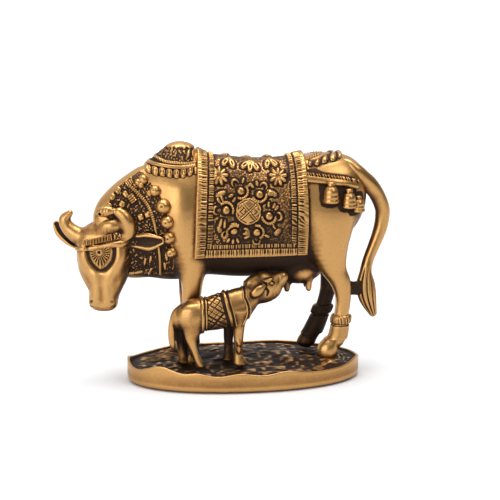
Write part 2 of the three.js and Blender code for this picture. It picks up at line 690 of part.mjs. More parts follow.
const CALF_TRUNK = [
  [-48, 0, 66, 13, 17],
  [-29, -2, 69, 17, 20.5],
  [-9, -2, 69, 17.5, 21.5],
  [11, 0, 73, 17.5, 23.5],
  [31, 3, 78, 16, 22.5],
  [41, 6, 82, 12, 17],
];
const CALF_NECK = [[30, 4, 82, 13, 17], [46, 8, 91, 11, 16], [57, 12, 96, 10, 15]];
const CALF_HEAD = [
  [48, 11, 97, 10, 14.5],
  [60, 13, 99.5, 13, 21],
  [71.5, 14, 99.5, 12.5, 19],
  [81, 16, 102, 10, 14],
  [89, 18.5, 106, 7.5, 9],
  [94, 21, 109, 7, 7.5],
];
const CALF_EARS = [
  [[66, 2, 105, 3.5, 3], [57, -1, 100, 6, 2.6], [47, -3, 94, 3.5, 2]],
  [[66, 27, 105, 3.5, 3], [57, 30, 100, 6, 2.6], [47, 32, 94, 3.5, 2]],
];
const CALF_LEGS = [
  [[29, -5, 74, 9, 14], [29, -5, 57, 7, 8.5], [28.5, -4.5, 36, 5.5, 6.3], [28.5, -4, 21, 5, 5.6], [28.5, -4, 11, 6, 7], [29.5, -4, 2, 7, 8.5]],
  [[20, 12, 72, 8, 13], [19, 15, 50, 6.5, 8], [18, 17, 34, 5.5, 6.5], [18, 18, 18, 5.2, 5.8], [18, 18, 2, 6.8, 8]],
  [[-30, -8, 78, 10, 16], [-30, -10, 66, 10.5, 18], [-30, -11.5, 52, 8.5, 13], [-32, -13, 36, 5.6, 7.2], [-27, -13, 21, 4.6, 5], [-22, -13, 3, 4.8, 5.4]],
  [[-44, 8, 66, 9, 14], [-50, 10, 48, 7, 9], [-54, 11, 36, 5.8, 6.8], [-53, 11, 22, 5, 5.6], [-50, 11, 2, 5.8, 6.8]],
];
const CALF_TAIL = [[-50, -1, 80, 3, 3], [-59, -2, 68, 3.4, 3.4], [-60.5, -2, 52, 3.2, 3.2], [-59, -1, 38, 2.4, 2.4]];
const CALF_GIRTHS = [[-17, 0], [-16.3, 2], [-11.5, 2], [-10.5, 1], [13, 1], [14, 2], [24, 2], [24.7, 0]];

function calf() {
  const girth = GIRTH_PROUD / calfShare;
  const bands = CALF_GIRTHS.map(([place, layers]) => [place, layers * girth]);
  const trunk = calfLimb(worn(CALF_TRUNK, 0, bands), { sides: 10, facing: X_AXIS });
  const collar = worn(CALF_NECK, 0, [[36, 0], [36.5, girth], [40, girth], [40.5, 0]]);
  const legs = CALF_LEGS.map((leg) => calfLimb(leg, { sides: 6, dome: 0.3, facing: DOWN }));
  const ears = CALF_EARS.map((ear) => calfLimb(ear, { across: Z_AXIS, sides: 5 }));
  return [
    trunk,
    calfLimb(collar, { sides: 8 }),
    calfLimb(CALF_HEAD, { sides: 8, dome: 0.7 }),
    ...ears,
    ...legs,
    calfLimb(CALF_TAIL, { sides: 5 }),
  ];
}

// The ground

// The rim's crest rises in a few humps. Each has its place round the rim in degrees, from +X
// anticlockwise, its height and its half width.
const RIM_HUMPS = [
  { at: 178, height: 2.6, width: 13 },
  { at: 223, height: 3.6, width: 12 },
  { at: 245, height: 1.4, width: 6 },
  { at: 266, height: 1.3, width: 6 },
  { at: 287, height: 1.6, width: 8 },
  { at: 343, height: 2.3, width: 14 },
  { at: 70, height: 0.7, width: 16 },
  { at: 120, height: 0.9, width: 14 },
];
const SHELVES = 3; // rings of the ground inside the rim
const GROUND_SIDES = 32;
const GROUND_SQUARENESS = 2.15;

function rimCrest(turn) {
  return RIM_HUMPS.reduce((height, hump) => {
    const apart = Math.abs(((THREE.MathUtils.radToDeg(turn) - hump.at + 540) % 360) - 180);
    return height + hump.height * Math.exp(-((apart / hump.width) ** 2));
  }, RIM_HEIGHT);
}

// The ground falls from under the hooves to the foot of the rim, in low swells.
function groundHeight(turn, out) {
  const swell = 2 * Math.sin(5 * out + 3 * turn) * out * (1 - out);
  return THREE.MathUtils.lerp(GROUND_HEIGHT + 0.4, RIM_HEIGHT - DISH_DROP, out ** 2) + swell;
}

function ground() {
  const [halfLength, halfDepth] = [GROUND_LENGTH / 2, GROUND_DEPTH / 2];
  const ring = (inset, out, heightAt) =>
    Array.from({ length: GROUND_SIDES }, (_, side) => {
      const turn = (side / GROUND_SIDES) * FULL_TURN;
      const [u, w] = ovalPoint(turn, GROUND_SQUARENESS);
      return new THREE.Vector3((halfLength - inset) * out * u, (halfDepth - inset) * out * w, heightAt(turn));
    });
  const rounding = [0, 0.3, 0.6, 1].map((share) => {
    const turn = (share * Math.PI) / 2;
    const height = GROUND_ROUNDING * (1 - Math.cos(turn));
    return ring(GROUND_ROUNDING * (1 - Math.sin(turn)), 1, () => height);
  });
  const rim = [
    ring(0, 1, (turn) => rimCrest(turn) - 0.5),
    ring(0.5, 1, rimCrest),
    ring(RIM_WIDTH, 1, (turn) => groundHeight(turn, 1)),
  ];
  const shelves = Array.from({ length: SHELVES }, (_, i) => 1 - (i + 1) / (SHELVES + 1)).map((out) =>
    ring(RIM_WIDTH, out, (turn) => groundHeight(turn, out)),
  );
  const top = new THREE.Vector3(0, 0, groundHeight(0, 0));
  return solidOf(skinOver([...rounding, ...rim, ...shelves], new THREE.Vector3(0, 0, 0), top));
}

// One casting

const brass = new THREE.MeshStandardMaterial({
  name: "antique_brass",
  color: new THREE.Color(0.62, 0.42, 0.16),
  roughness: 0.38,
  metalness: 1,
});

const casting = fuse([ground(), ...cowBody(), ...cowLegs(), ...cowTail(), ...cowHead(), ...harness(), ...calf()]);
const statue = new THREE.Mesh(geometryOf(casting), brass);
statue.name = "cow_and_calf_casting";

const kamdhenu = new THREE.Group();
kamdhenu.name = "kamdhenu";
kamdhenu.add(statue);

export default kamdhenu;
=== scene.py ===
# A small cast brass group: a humped cow in festival harness stands over her suckling calf on an oval
# patch of ground. Sizes are millimetres in the part's own frame: +Z up, the cow looks along -X and the
# calf stands on her left, towards -Y. Every piece here is one region of the same casting.

import itertools
import json
import math

import bpy
import numpy as np
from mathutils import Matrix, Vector

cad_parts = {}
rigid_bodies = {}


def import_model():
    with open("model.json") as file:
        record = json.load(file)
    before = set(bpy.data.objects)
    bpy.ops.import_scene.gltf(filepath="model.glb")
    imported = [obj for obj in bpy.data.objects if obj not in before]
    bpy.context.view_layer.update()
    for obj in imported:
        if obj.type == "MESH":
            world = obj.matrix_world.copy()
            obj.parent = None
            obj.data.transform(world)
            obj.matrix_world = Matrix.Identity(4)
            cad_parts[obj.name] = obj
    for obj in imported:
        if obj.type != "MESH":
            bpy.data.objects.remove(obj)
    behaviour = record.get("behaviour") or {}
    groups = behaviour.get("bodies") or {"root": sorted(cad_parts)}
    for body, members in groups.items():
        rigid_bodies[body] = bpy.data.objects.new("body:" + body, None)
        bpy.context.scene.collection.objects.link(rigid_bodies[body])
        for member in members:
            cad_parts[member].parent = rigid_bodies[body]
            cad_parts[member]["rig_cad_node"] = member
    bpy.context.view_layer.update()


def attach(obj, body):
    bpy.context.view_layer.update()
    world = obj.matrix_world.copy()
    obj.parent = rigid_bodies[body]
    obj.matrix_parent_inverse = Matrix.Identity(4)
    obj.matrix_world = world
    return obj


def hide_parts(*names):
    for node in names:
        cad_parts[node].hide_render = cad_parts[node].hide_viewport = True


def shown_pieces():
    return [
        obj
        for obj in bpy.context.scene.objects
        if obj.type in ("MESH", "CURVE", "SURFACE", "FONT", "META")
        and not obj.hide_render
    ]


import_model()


# The ground is an oval slab of earth cast with the figures. Its wall is filed and brushed, its wavy rim
# is worn bright, and the rough top inside the rim is left as it came from the mould and darkened.

GROUND_LENGTH = 106.6
GROUND_DEPTH = 56.0
GROUND_HEIGHT = 9.5
GROUND_SQUARENESS = 2.15
GROUND_SIDES = 400
WALL_FOOT_ROUNDING = 2.4
RIM_HEIGHT = 8.0
RIM_WIDTH = 1.8
RIM_ROUNDING = 0.5
FALL_RINGS = 5
EARTH_RINGS = 86
GROUND_STAIN = 1.15
WALL_STAIN = 0.5
BACK_RIM_SHADE = 0.65
COMBED = (-37, 9, 11, 10, 1.0)
COMB_PITCH = 1.5
TERRACED = (45, -2, 8, 14, 1.0)
TERRACE_PITCH = 2.2
MOUNDS = [
    (-33, 14, 9, 6, 1.6),
    (7.5, -11, 3.6, 2.6, 1.1),
    (-3, -6, 4, 3, 0.5),
    (20, -9, 6, 4, 0.6),
    (37.5, -12, 8, 6, 1.7),
    (31, 5, 6, 4, 1.2),
    (-20, -17, 5, 3, 0.4),
    (14, 9, 8, 5, 0.9),
]  # place, half widths and height
WORN = [(7.5, -11, 3.2, 2.4), (-3, -6.5, 4, 3), (27.5, -21, 5, 2.2), (15, -18, 3.5, 2), (-8, -16, 4, 2.4)]
WORN_SPREAD = 1.2
RIM_HUMPS = [
    (178, 2.6, 13),
    (223, 3.6, 12),
    (245, 1.4, 6),
    (266, 1.3, 6),
    (287, 1.6, 8),
    (343, 2.3, 14),
    (70, 0.7, 16),
    (120, 0.9, 14),
]  # place round the rim in degrees, height, half width in degrees
CLOUD_SCALE = 90.0
GRAIN_SCALE = 900.0
SPECKLE_SCALE = 2200.0
# The tones run from the brown of the recesses, which also serves as painted shade, to polished metal.
BRASS_AND_SHADE_TONES = [
    (0.0, (0.028, 0.013, 0.006)),
    (0.25, (0.095, 0.045, 0.018)),
    (0.55, (0.29, 0.140, 0.044)),
    (1.0, (0.515, 0.282, 0.094)),
]  # from the brown of the recesses to polished metal
PIT_COLOUR = (0.08, 0.045, 0.02, 1.0)
PITS_FROM = 0.64


class Socket:
    """An output of a shader node, with the sums that are written on it."""

    def __init__(self, tree, output):
        self.tree, self.output = tree, output

    def sum(self, operation, *others, clamp=False):
        """A sum of this output and others, each an output or a number."""
        values = [self.output] + [getattr(other, "output", other) for other in others]
        return self.tree.node("Math", {"operation": operation, "use_clamp": clamp}, values)

    def __add__(self, other):
        return self.sum("ADD", other)

    def __sub__(self, other):
        return self.sum("SUBTRACT", other)

    def __mul__(self, other):
        return self.sum("MULTIPLY", other)

    def __rsub__(self, other):
        return (self * -1.0) + other

    __radd__, __rmul__ = __add__, __mul__

    def clamped(self):
        """The same value kept between 0 and 1."""
        return self.sum("ADD", 0.0, clamp=True)


class Tree:
    """The nodes of a material or of the world."""

    def __init__(self, owner):
        owner.use_nodes = True
        self.nodes = owner.node_tree.nodes
        self.links = owner.node_tree.links
        self.nodes.clear()

    def put(self, socket, value):
        """Sets an input to a value, or links it to another node's output."""
        value = getattr(value, "output", value)
        if isinstance(value, bpy.types.NodeSocket):
            self.links.new(value, socket)
        else:
            socket.default_value = value

    def node(self, kind, settings=None, values=(), output=0):
        """Adds a node, settings first, then the values or links of its inputs by place or by name."""
        made = self.nodes.new("ShaderNode" + kind)
        for name, value in (settings or {}).items():
            if name == "stops":
                self.set_stops(made.color_ramp, value)
            else:
                setattr(made, name, value)
        pairs = values.items() if isinstance(values, dict) else enumerate(values)
        for place, value in pairs:
            self.put(made.inputs[place], value)
        return Socket(self, made.outputs[output]) if made.outputs else None

    @staticmethod
    def set_stops(ramp, stops):
        """Gives a colour ramp its stops, each a place and a colour."""
        while len(ramp.elements) < len(stops):
            ramp.elements.new(1.0)
        for element, (place, colour) in zip(ramp.elements, stops):
            element.position = place
            element.color = (*colour, 1.0)

    def blend(self, factor, first, second):
        """A colour between two, by a factor."""
        mix = self.nodes.new("ShaderNodeMix")
        mix.data_type = "RGBA"
        for name, value in (("Factor_Float", factor), ("A_Color", first), ("B_Color", second)):
            self.put(next(s for s in mix.inputs if s.identifier == name), value)
        return Socket(self, next(s for s in mix.outputs if s.identifier == "Result_Color"))


def antique_brass():
    """Brass that is satin bright where the polishing wheel reached and dark brown in every recess, with
    shade painted into its colour on what faces down and in shaded places. The attribute open, how much sky a
    point sees, gives both the wheel's reach and that painted shade. Small relief is raised, and extra brown,
    from stains and from painted shade, is read from a third attribute."""
    material = bpy.data.materials.new("antique_brass")
    tree = Tree(material)
    place = tree.node("TexCoord", output=3)

    def given(name):
        return tree.node("Attribute", {"attribute_name": name}, output=2)

    def noise(scale, detail, roughness):
        values = {"Vector": place, "Scale": scale, "Detail": detail, "Roughness": roughness}
        return tree.node("TexNoise", {}, values)

    cloudy, grainy = noise(CLOUD_SCALE, 4.0, 0.6), noise(GRAIN_SCALE, 3.0, 0.6)
    speckle = noise(SPECKLE_SCALE, 2.0, 0.5)
    # open is how much sky a point sees. Its low values keep the patina's brown in recesses and paint shade
    # on what faces down or lies under other parts.
    reach = (given("open") * 2.1).clamped()
    wheel_and_shade = reach * 1.2 + given("raised") * 0.9 + (cloudy - 0.5) * 0.5 + (grainy - 0.5) * 0.3
    polish_and_shade = (wheel_and_shade - given("stained") - 0.28).clamped()
    pits = ((speckle - PITS_FROM) * 9.0).clamped()
    tone = tree.node("ValToRGB", {"stops": BRASS_AND_SHADE_TONES}, [polish_and_shade])
    rough = 0.62 - polish_and_shade * 0.3 + (grainy - 0.5) * 0.14 + pits * 0.2
    height = grainy * 0.5 + speckle * 0.35 - pits * 0.8
    look = {
        "Base Color": tree.blend((pits * 0.75).clamped(), tone, PIT_COLOUR),
        "Metallic": (0.72 + polish_and_shade * 0.6).clamped(),
        "Roughness": rough.clamped(),
        "Coat Weight": (polish_and_shade * 0.22).clamped(),
        "Coat Roughness": 0.22,
        "Normal": tree.node("Bump", {}, {"Strength": 0.25, "Distance": 0.0002, "Height": height}),
    }
    tree.node("OutputMaterial", {}, [tree.node("BsdfPrincipled", {}, look)])
    return material


brass = antique_brass()
MM = 0.001


def placed(name, data):
    """A new object in the scene."""
    made = bpy.data.objects.new(name, data)
    bpy.context.scene.collection.objects.link(made)
    return made


def give(mesh, name, values):
    """Gives every point of a mesh a value that the brass reads by its name."""
    mesh.attributes.new(name, "FLOAT", "POINT").data.foreach_set("value", values.astype(np.float32))


def cast(name, points, *faces, stained=0.0):
    """One region of the casting: points in millimetres and arrays of faces, a face in each row. Where the
    closed skin's volume comes out negative its faces are turned round. The keyword argument gives each
    point's extra share of brown, from stains and, on some pieces, painted shade."""
    volume = 0.0
    for rows in faces:
        first = points[rows[:, 0]]
        for corner in range(1, rows.shape[1] - 1):
            spanned = np.cross(points[rows[:, corner]], points[rows[:, corner + 1]])
            volume += np.einsum("ij,ij->", first, spanned)
    if volume < 0:
        faces = [rows[:, ::-1] for rows in faces]
    sizes = np.concatenate([np.full(len(rows), rows.shape[1]) for rows in faces])
    starts = np.concatenate([[0], np.cumsum(sizes)[:-1]])
    mesh = bpy.data.meshes.new(name)
    mesh.vertices.add(len(points))
    mesh.vertices.foreach_set("co", (points * MM).astype(np.float32).ravel())
    mesh.loops.add(int(sizes.sum()))
    corners = np.concatenate([rows.ravel() for rows in faces])
    mesh.loops.foreach_set("vertex_index", corners.astype(np.int32))
    mesh.polygons.add(len(sizes))
    mesh.polygons.foreach_set("loop_start", starts.astype(np.int32))
    mesh.update(calc_edges=True)
    mesh.validate()
    mesh.shade_smooth()
    give(mesh, "stained", np.zeros(len(points)) + stained)
    mesh.materials.append(brass)
    piece = placed(name, mesh)
    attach(piece, "root")
    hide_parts("cow_and_calf_casting")


def quads(rows, columns, round_columns=False):
    """The faces of a grid of points, each joining a point to the next of its row and of its column."""
    down = np.arange(rows - 1)[:, None]
    over = np.arange(columns if round_columns else columns - 1)[None, :]
    corners = [(down, over), (down, over + 1), (down + 1, over + 1), (down + 1, over)]
    joined = [row * columns + column % columns for row, column in corners]
    return np.stack(joined, -1).reshape(-1, 4)


def lid(centre, first, count):
    """The fan of faces from a centre point to a ring of count points that starts at first."""
    ring = first + np.arange(count)
    return np.stack([np.full(count, centre), ring, first + (np.arange(count) + 1) % count], -1)


def tube(rows, columns):
    """The faces of a stack of rings, with a lid on each end. The lids' middle points follow the rings."""
    count = rows * columns
    return (
        quads(rows, columns, round_columns=True),
        lid(count, 0, columns)[:, ::-1],
        lid(count + 1, count - columns, columns),
    )


def grid_of(x, y, z):
    """Places from their three measures, each a number or an array."""
    return np.stack(np.broadcast_arrays(x, y, z), -1)


def signed_power(value, power):
    """A power of a value's size that keeps its sign."""
    return np.sign(value) * np.abs(value) ** power


def turns(count):
    """Angles that lie evenly round a circle."""
    return np.arange(count) / count * 2 * np.pi


def peak(off, half):
    """1 on a line and falling to 0 on both sides of it, like a bell."""
    return np.exp(-((off / half) ** 2))


def rim_crest(turn):
    """The rim's height: its low stretches, and a bell-shaped hump at each of the humps' places."""
    crest = np.full(np.shape(turn), RIM_HEIGHT)
    for at, height, width in RIM_HUMPS:
        apart = np.abs((np.degrees(turn) - at + 540) % 360 - 180)
        crest = crest + height * peak(apart, width)
    return crest


def eased(share):
    """A share from 0 to 1 that starts and ends gently."""
    return share * share * (3 - 2 * share)


GRAIN = np.random.default_rng(11).random((128, 128))


def grain(x, y, size):
    """A smooth random field between -1 and 1 whose lumps are about as big as size."""
    a, b = np.broadcast_arrays(np.asarray(x) / size + 1000, np.asarray(y) / size + 1000)
    i, j = np.floor(a).astype(int), np.floor(b).astype(int)
    u, w = eased(a - i), eased(b - j)
    low = GRAIN[i % 128, j % 128] * (1 - u) + GRAIN[(i + 1) % 128, j % 128] * u
    high = GRAIN[i % 128, (j + 1) % 128] * (1 - u) + GRAIN[(i + 1) % 128, (j + 1) % 128] * u
    return 2 * (low * (1 - w) + high * w) - 1


def mound(x, y, at):
    """A low round heap: its place, half widths and height."""
    at_x, at_y, wide, deep, height = at
    return height * np.exp(-(((x - at_x) / wide) ** 2) - ((y - at_y) / deep) ** 2)


def rough_earth(x, y):
    """Earth thumbed into low mounds, combed in curved strokes at the left and terraced at the right."""
    lumps = 0.7 * grain(x, 1.5 * y, 10.0) + 0.42 * grain(x + 31, 1.4 * y, 4.6)
    lumps = lumps + 0.28 * grain(x, 1.4 * y + 17, 2.3)
    bent = 0.35 * x + y + 1.4 * grain(x, y, 9.0)
    strokes = 0.26 * np.sin(2 * np.pi * bent / COMB_PITCH) * mound(x, y, COMBED)
    round_rim = np.hypot(x, 1.9 * y) + 0.5 * grain(x, y, 6.0)
    stepped = 0.3 * np.sin(2 * np.pi * round_rim / TERRACE_PITCH) * mound(x, y, TERRACED)
    return lumps + strokes + stepped + sum(mound(x, y, at) for at in MOUNDS)


def worn_earth(x, y):
    """Where hands and cloths have rubbed the earth bright, near its front edge."""
    patches = [(at_x, at_y, WORN_SPREAD * wide, WORN_SPREAD * deep, 1.0) for at_x, at_y, wide, deep in WORN]
    return np.clip(sum(mound(x, y, patch) for patch in patches), 0, 1)


def ground_height(turn, out):
    """The ground falls from under the hooves to the foot of the rim, in low swells."""
    swell = 2.0 * np.sin(5 * out + 3 * turn) * out * (1 - out)
    return (GROUND_HEIGHT + 0.4) * (1 - out**2) + (RIM_HEIGHT - 1.0) * out**2 + swell


def ground_rings():
    """Rings from the middle of the underside out, up the wall, over the rim and in to the middle."""
    turn = turns(GROUND_SIDES)
    u = signed_power(np.cos(turn), 2 / GROUND_SQUARENESS)
    w = signed_power(np.sin(turn), 2 / GROUND_SQUARENESS)
    crest, floor = rim_crest(turn), ground_height(turn, 1.0)

    def ring(inset, out, height):
        return grid_of((GROUND_LENGTH / 2 - inset) * out * u, (GROUND_DEPTH / 2 - inset) * out * w, height)

    rings = [ring(GROUND_DEPTH / 4, 1, 0.0)]
    for a in np.linspace(0, np.pi / 2, 8):
        rings.append(ring(WALL_FOOT_ROUNDING * (1 - np.sin(a)), 1, WALL_FOOT_ROUNDING * (1 - np.cos(a))))
    for share in np.linspace(0, 1, 16)[1:]:
        rise = (crest - RIM_ROUNDING - WALL_FOOT_ROUNDING) * share
        rings.append(ring(0, 1, WALL_FOOT_ROUNDING + rise))
    for a in np.linspace(0, np.pi / 2, 5)[1:]:
        rings.append(ring(RIM_ROUNDING * (1 - np.cos(a)), 1, crest - RIM_ROUNDING * (1 - np.sin(a))))
    for share in np.linspace(0, 1, FALL_RINGS + 1)[1:]:
        fall = share**1.5
        inset = RIM_ROUNDING + (RIM_WIDTH - RIM_ROUNDING) * share
        rings.append(ring(inset, 1, crest * (1 - fall) + floor * fall))
    for out in np.linspace(1, 0, EARTH_RINGS + 2)[1:-1]:
        earth = ring(RIM_WIDTH, out, 0.0)
        rough = rough_earth(earth[:, 0], earth[:, 1]) * np.clip((1 - out) * 9, 0, 1)
        earth[:, 2] = ground_height(turn, out) + rough
        rings.append(earth)
    return rings


def ground_stain_and_shade(points, inside_rim):
    """The earth inside the rim is brown, less where it is worn or stands high, and so is the foot of the
    wall. The rim at the back is darkened too, as painted shade."""
    x, y, z = points.T
    ridge = 0.5 * grain(x + 31, 1.4 * y, 4.6) + grain(x, 1.4 * y + 17, 2.3)
    earth = inside_rim * GROUND_STAIN * (1 - 0.55 * worn_earth(x, y))
    earth = earth * (0.86 - 0.2 * np.clip(ridge, -0.3, 1))
    wall = WALL_STAIN * np.clip(1.5 - z / 6.0, 0, 1) * (np.abs(z) > 0.01)
    # Painted shade: the top of the rim at the back is darkened in its colour.
    back_rim_shade = BACK_RIM_SHADE * np.clip((y - 2) / 6, 0, 1) * np.clip(z - 6.5, 0, 1)
    return np.maximum.reduce([earth, wall, back_rim_shade])


rings = ground_rings()
rows = len(rings)
middle_height = ground_height(0.0, 0.0) + rough_earth(0.0, 0.0)
ground_points = np.concatenate([*rings, [[0, 0, 0], [0, 0, middle_height]]])
inside_rim = np.clip((np.arange(rows) - (rows - EARTH_RINGS - FALL_RINGS)) / FALL_RINGS, 0, 1)
inside_rim = np.concatenate([np.repeat(inside_rim, GROUND_SIDES), [0, 1]])
cast("ground", ground_points, *tube(rows, GROUND_SIDES), stained=ground_stain_and_shade(ground_points, inside_rim))


# The cow's body is one smooth mass of solid brass from the neck to the rump, with hump, udder and four
# legs grown into it. Each of her stations is a place, measured from the ground under her hooves and
# from her own middle plane, with a half width and a half depth.

COW_AT = np.array([0.0, 3.5, GROUND_HEIGHT])
BODY_CELL = 0.6
BARREL_SQUARENESS = 2.2
BARREL = [
    (-60, -4.5, 60, 8, 15.5),
    (-52, -2.5, 60.5, 9.5, 22),
    (-42, -0.5, 63.4, 12, 25.6),
    (-31, 0, 64.8, 15, 28.3),
    (-17, 0, 65.4, 16.5, 27),
    (1, 0, 63.7, 17, 26.6),
    (18, 0, 64.6, 16.5, 25.8),
    (33, 0, 69.2, 15, 23.6),
    (43, 0, 73.5, 12.3, 19),
    (49, 0, 76, 8.3, 13.2),
]
HUMP = [(-36, 0, 84.6, 7, 5.8), (-32, 0, 88.8, 7.4, 7.8), (-27, 0, 90.2, 7.2, 8.3), (-21, 0, 85.4, 6.5, 5.4)]
CREST = [(-63, -5, 67, 4, 4), (-59, -4, 73, 4.5, 4.4), (-53, -2, 77.8, 5, 4.8), (-46, 0, 82.6, 5, 4)]
UDDER = [(19, 0, 40, 6, 5), (25.5, 0, 39, 8, 6.4), (31, 0, 40.5, 6.5, 6)]
TEAT = [(36, 2), (30.6, 1.5)]  # heights and half widths
TEATS_AT = (20, 30)
TEATS_APART = 3.5
FORELEG = [
    (-28.5, -8.6, 81, 4.4, 4.5),
    (-27.8, -9.4, 70, 6.5, 7.2),
    (-26.6, -10, 57, 6, 6.6),
    (-24.1, -9.8, 46, 5.1, 6.4),
    (-23.9, -9.3, 36, 4.3, 4.9),
    (-24.4, -9, 27, 3.7, 4),
    (-24.5, -9, 17, 3, 3.2),
    (-24.6, -9, 8, 3.2, 3.4),
    (-25.3, -9, 4, 4, 4.6),
    (-25.8, -9, 0, 4.4, 5.4),
]
NEAR_HINDLEG = [
    (37, -8, 76, 7, 11),
    (37.6, -9.2, 68, 7.6, 12.2),
    (37.6, -9.6, 60, 7.2, 11.2),
    (38, -10, 51, 6, 8.8),
    (40, -9.8, 42, 4.6, 6.2),
    (43.6, -9.6, 35, 3.8, 4.8),
    (45, -9.5, 27, 3.3, 3.6),
    (44.2, -9.5, 19, 3.3, 3.5),
    (42.7, -9.5, 9, 3.6, 3.9),
    (40.3, -9.7, 6.6, 3.5, 3.5),
    (38.3, -9.9, 4.2, 4.4, 4.8),
    (37.9, -10, 1.6, 4.4, 5),
]
FAR_HINDLEG = [
    (37, 8, 76, 7, 11),
    (38, 9.5, 60, 7.2, 11),
    (39.5, 10, 50, 6, 8.4),
    (41.8, 9.8, 41, 4.6, 5.8),
    (42.2, 9.5, 33.6, 3.7, 4.6),
    (40.9, 9.5, 25.4, 3.3, 3.7),
    (38.6, 9.5, 17.7, 3.3, 3.6),
    (35, 9.5, 8.6, 3.6, 4),
    (33.1, 9.5, 5.4, 3.4, 3.9),
    (30.7, 9.5, 1.5, 3.8, 4.6),
]
SIDEWAYS = np.array([0.0, 1.0, 0.0])
AHEAD = np.array([1.0, 0.0, 0.0])
DOWN = np.array([0.0, 0.0, -1.0])


def unit(vectors):
    """The same directions, each 1 long."""
    return vectors / np.maximum(np.linalg.norm(vectors, axis=-1, keepdims=True), 1e-9)


def smooth_course(stations, spans):
    """A smooth curve through the stations: between two of them each value is the cubic of the share of
    the way that leaves one station aimed along its neighbours and enters the next in the same way."""
    s = np.asarray(stations, float)
    padded = np.vstack([2 * s[0] - s[1], s, 2 * s[-1] - s[-2]])
    share = (np.arange(spans) / spans)[None, :, None]
    a, b, c, d = (padded[i : len(s) - 1 + i, None] for i in range(4))
    course = b + 0.5 * share * (c - a + share * (2 * a - 5 * b + 4 * c - d + share * (3 * (b - c) + d - a)))
    return np.vstack([course.reshape(-1, s.shape[1]), s[-1]])


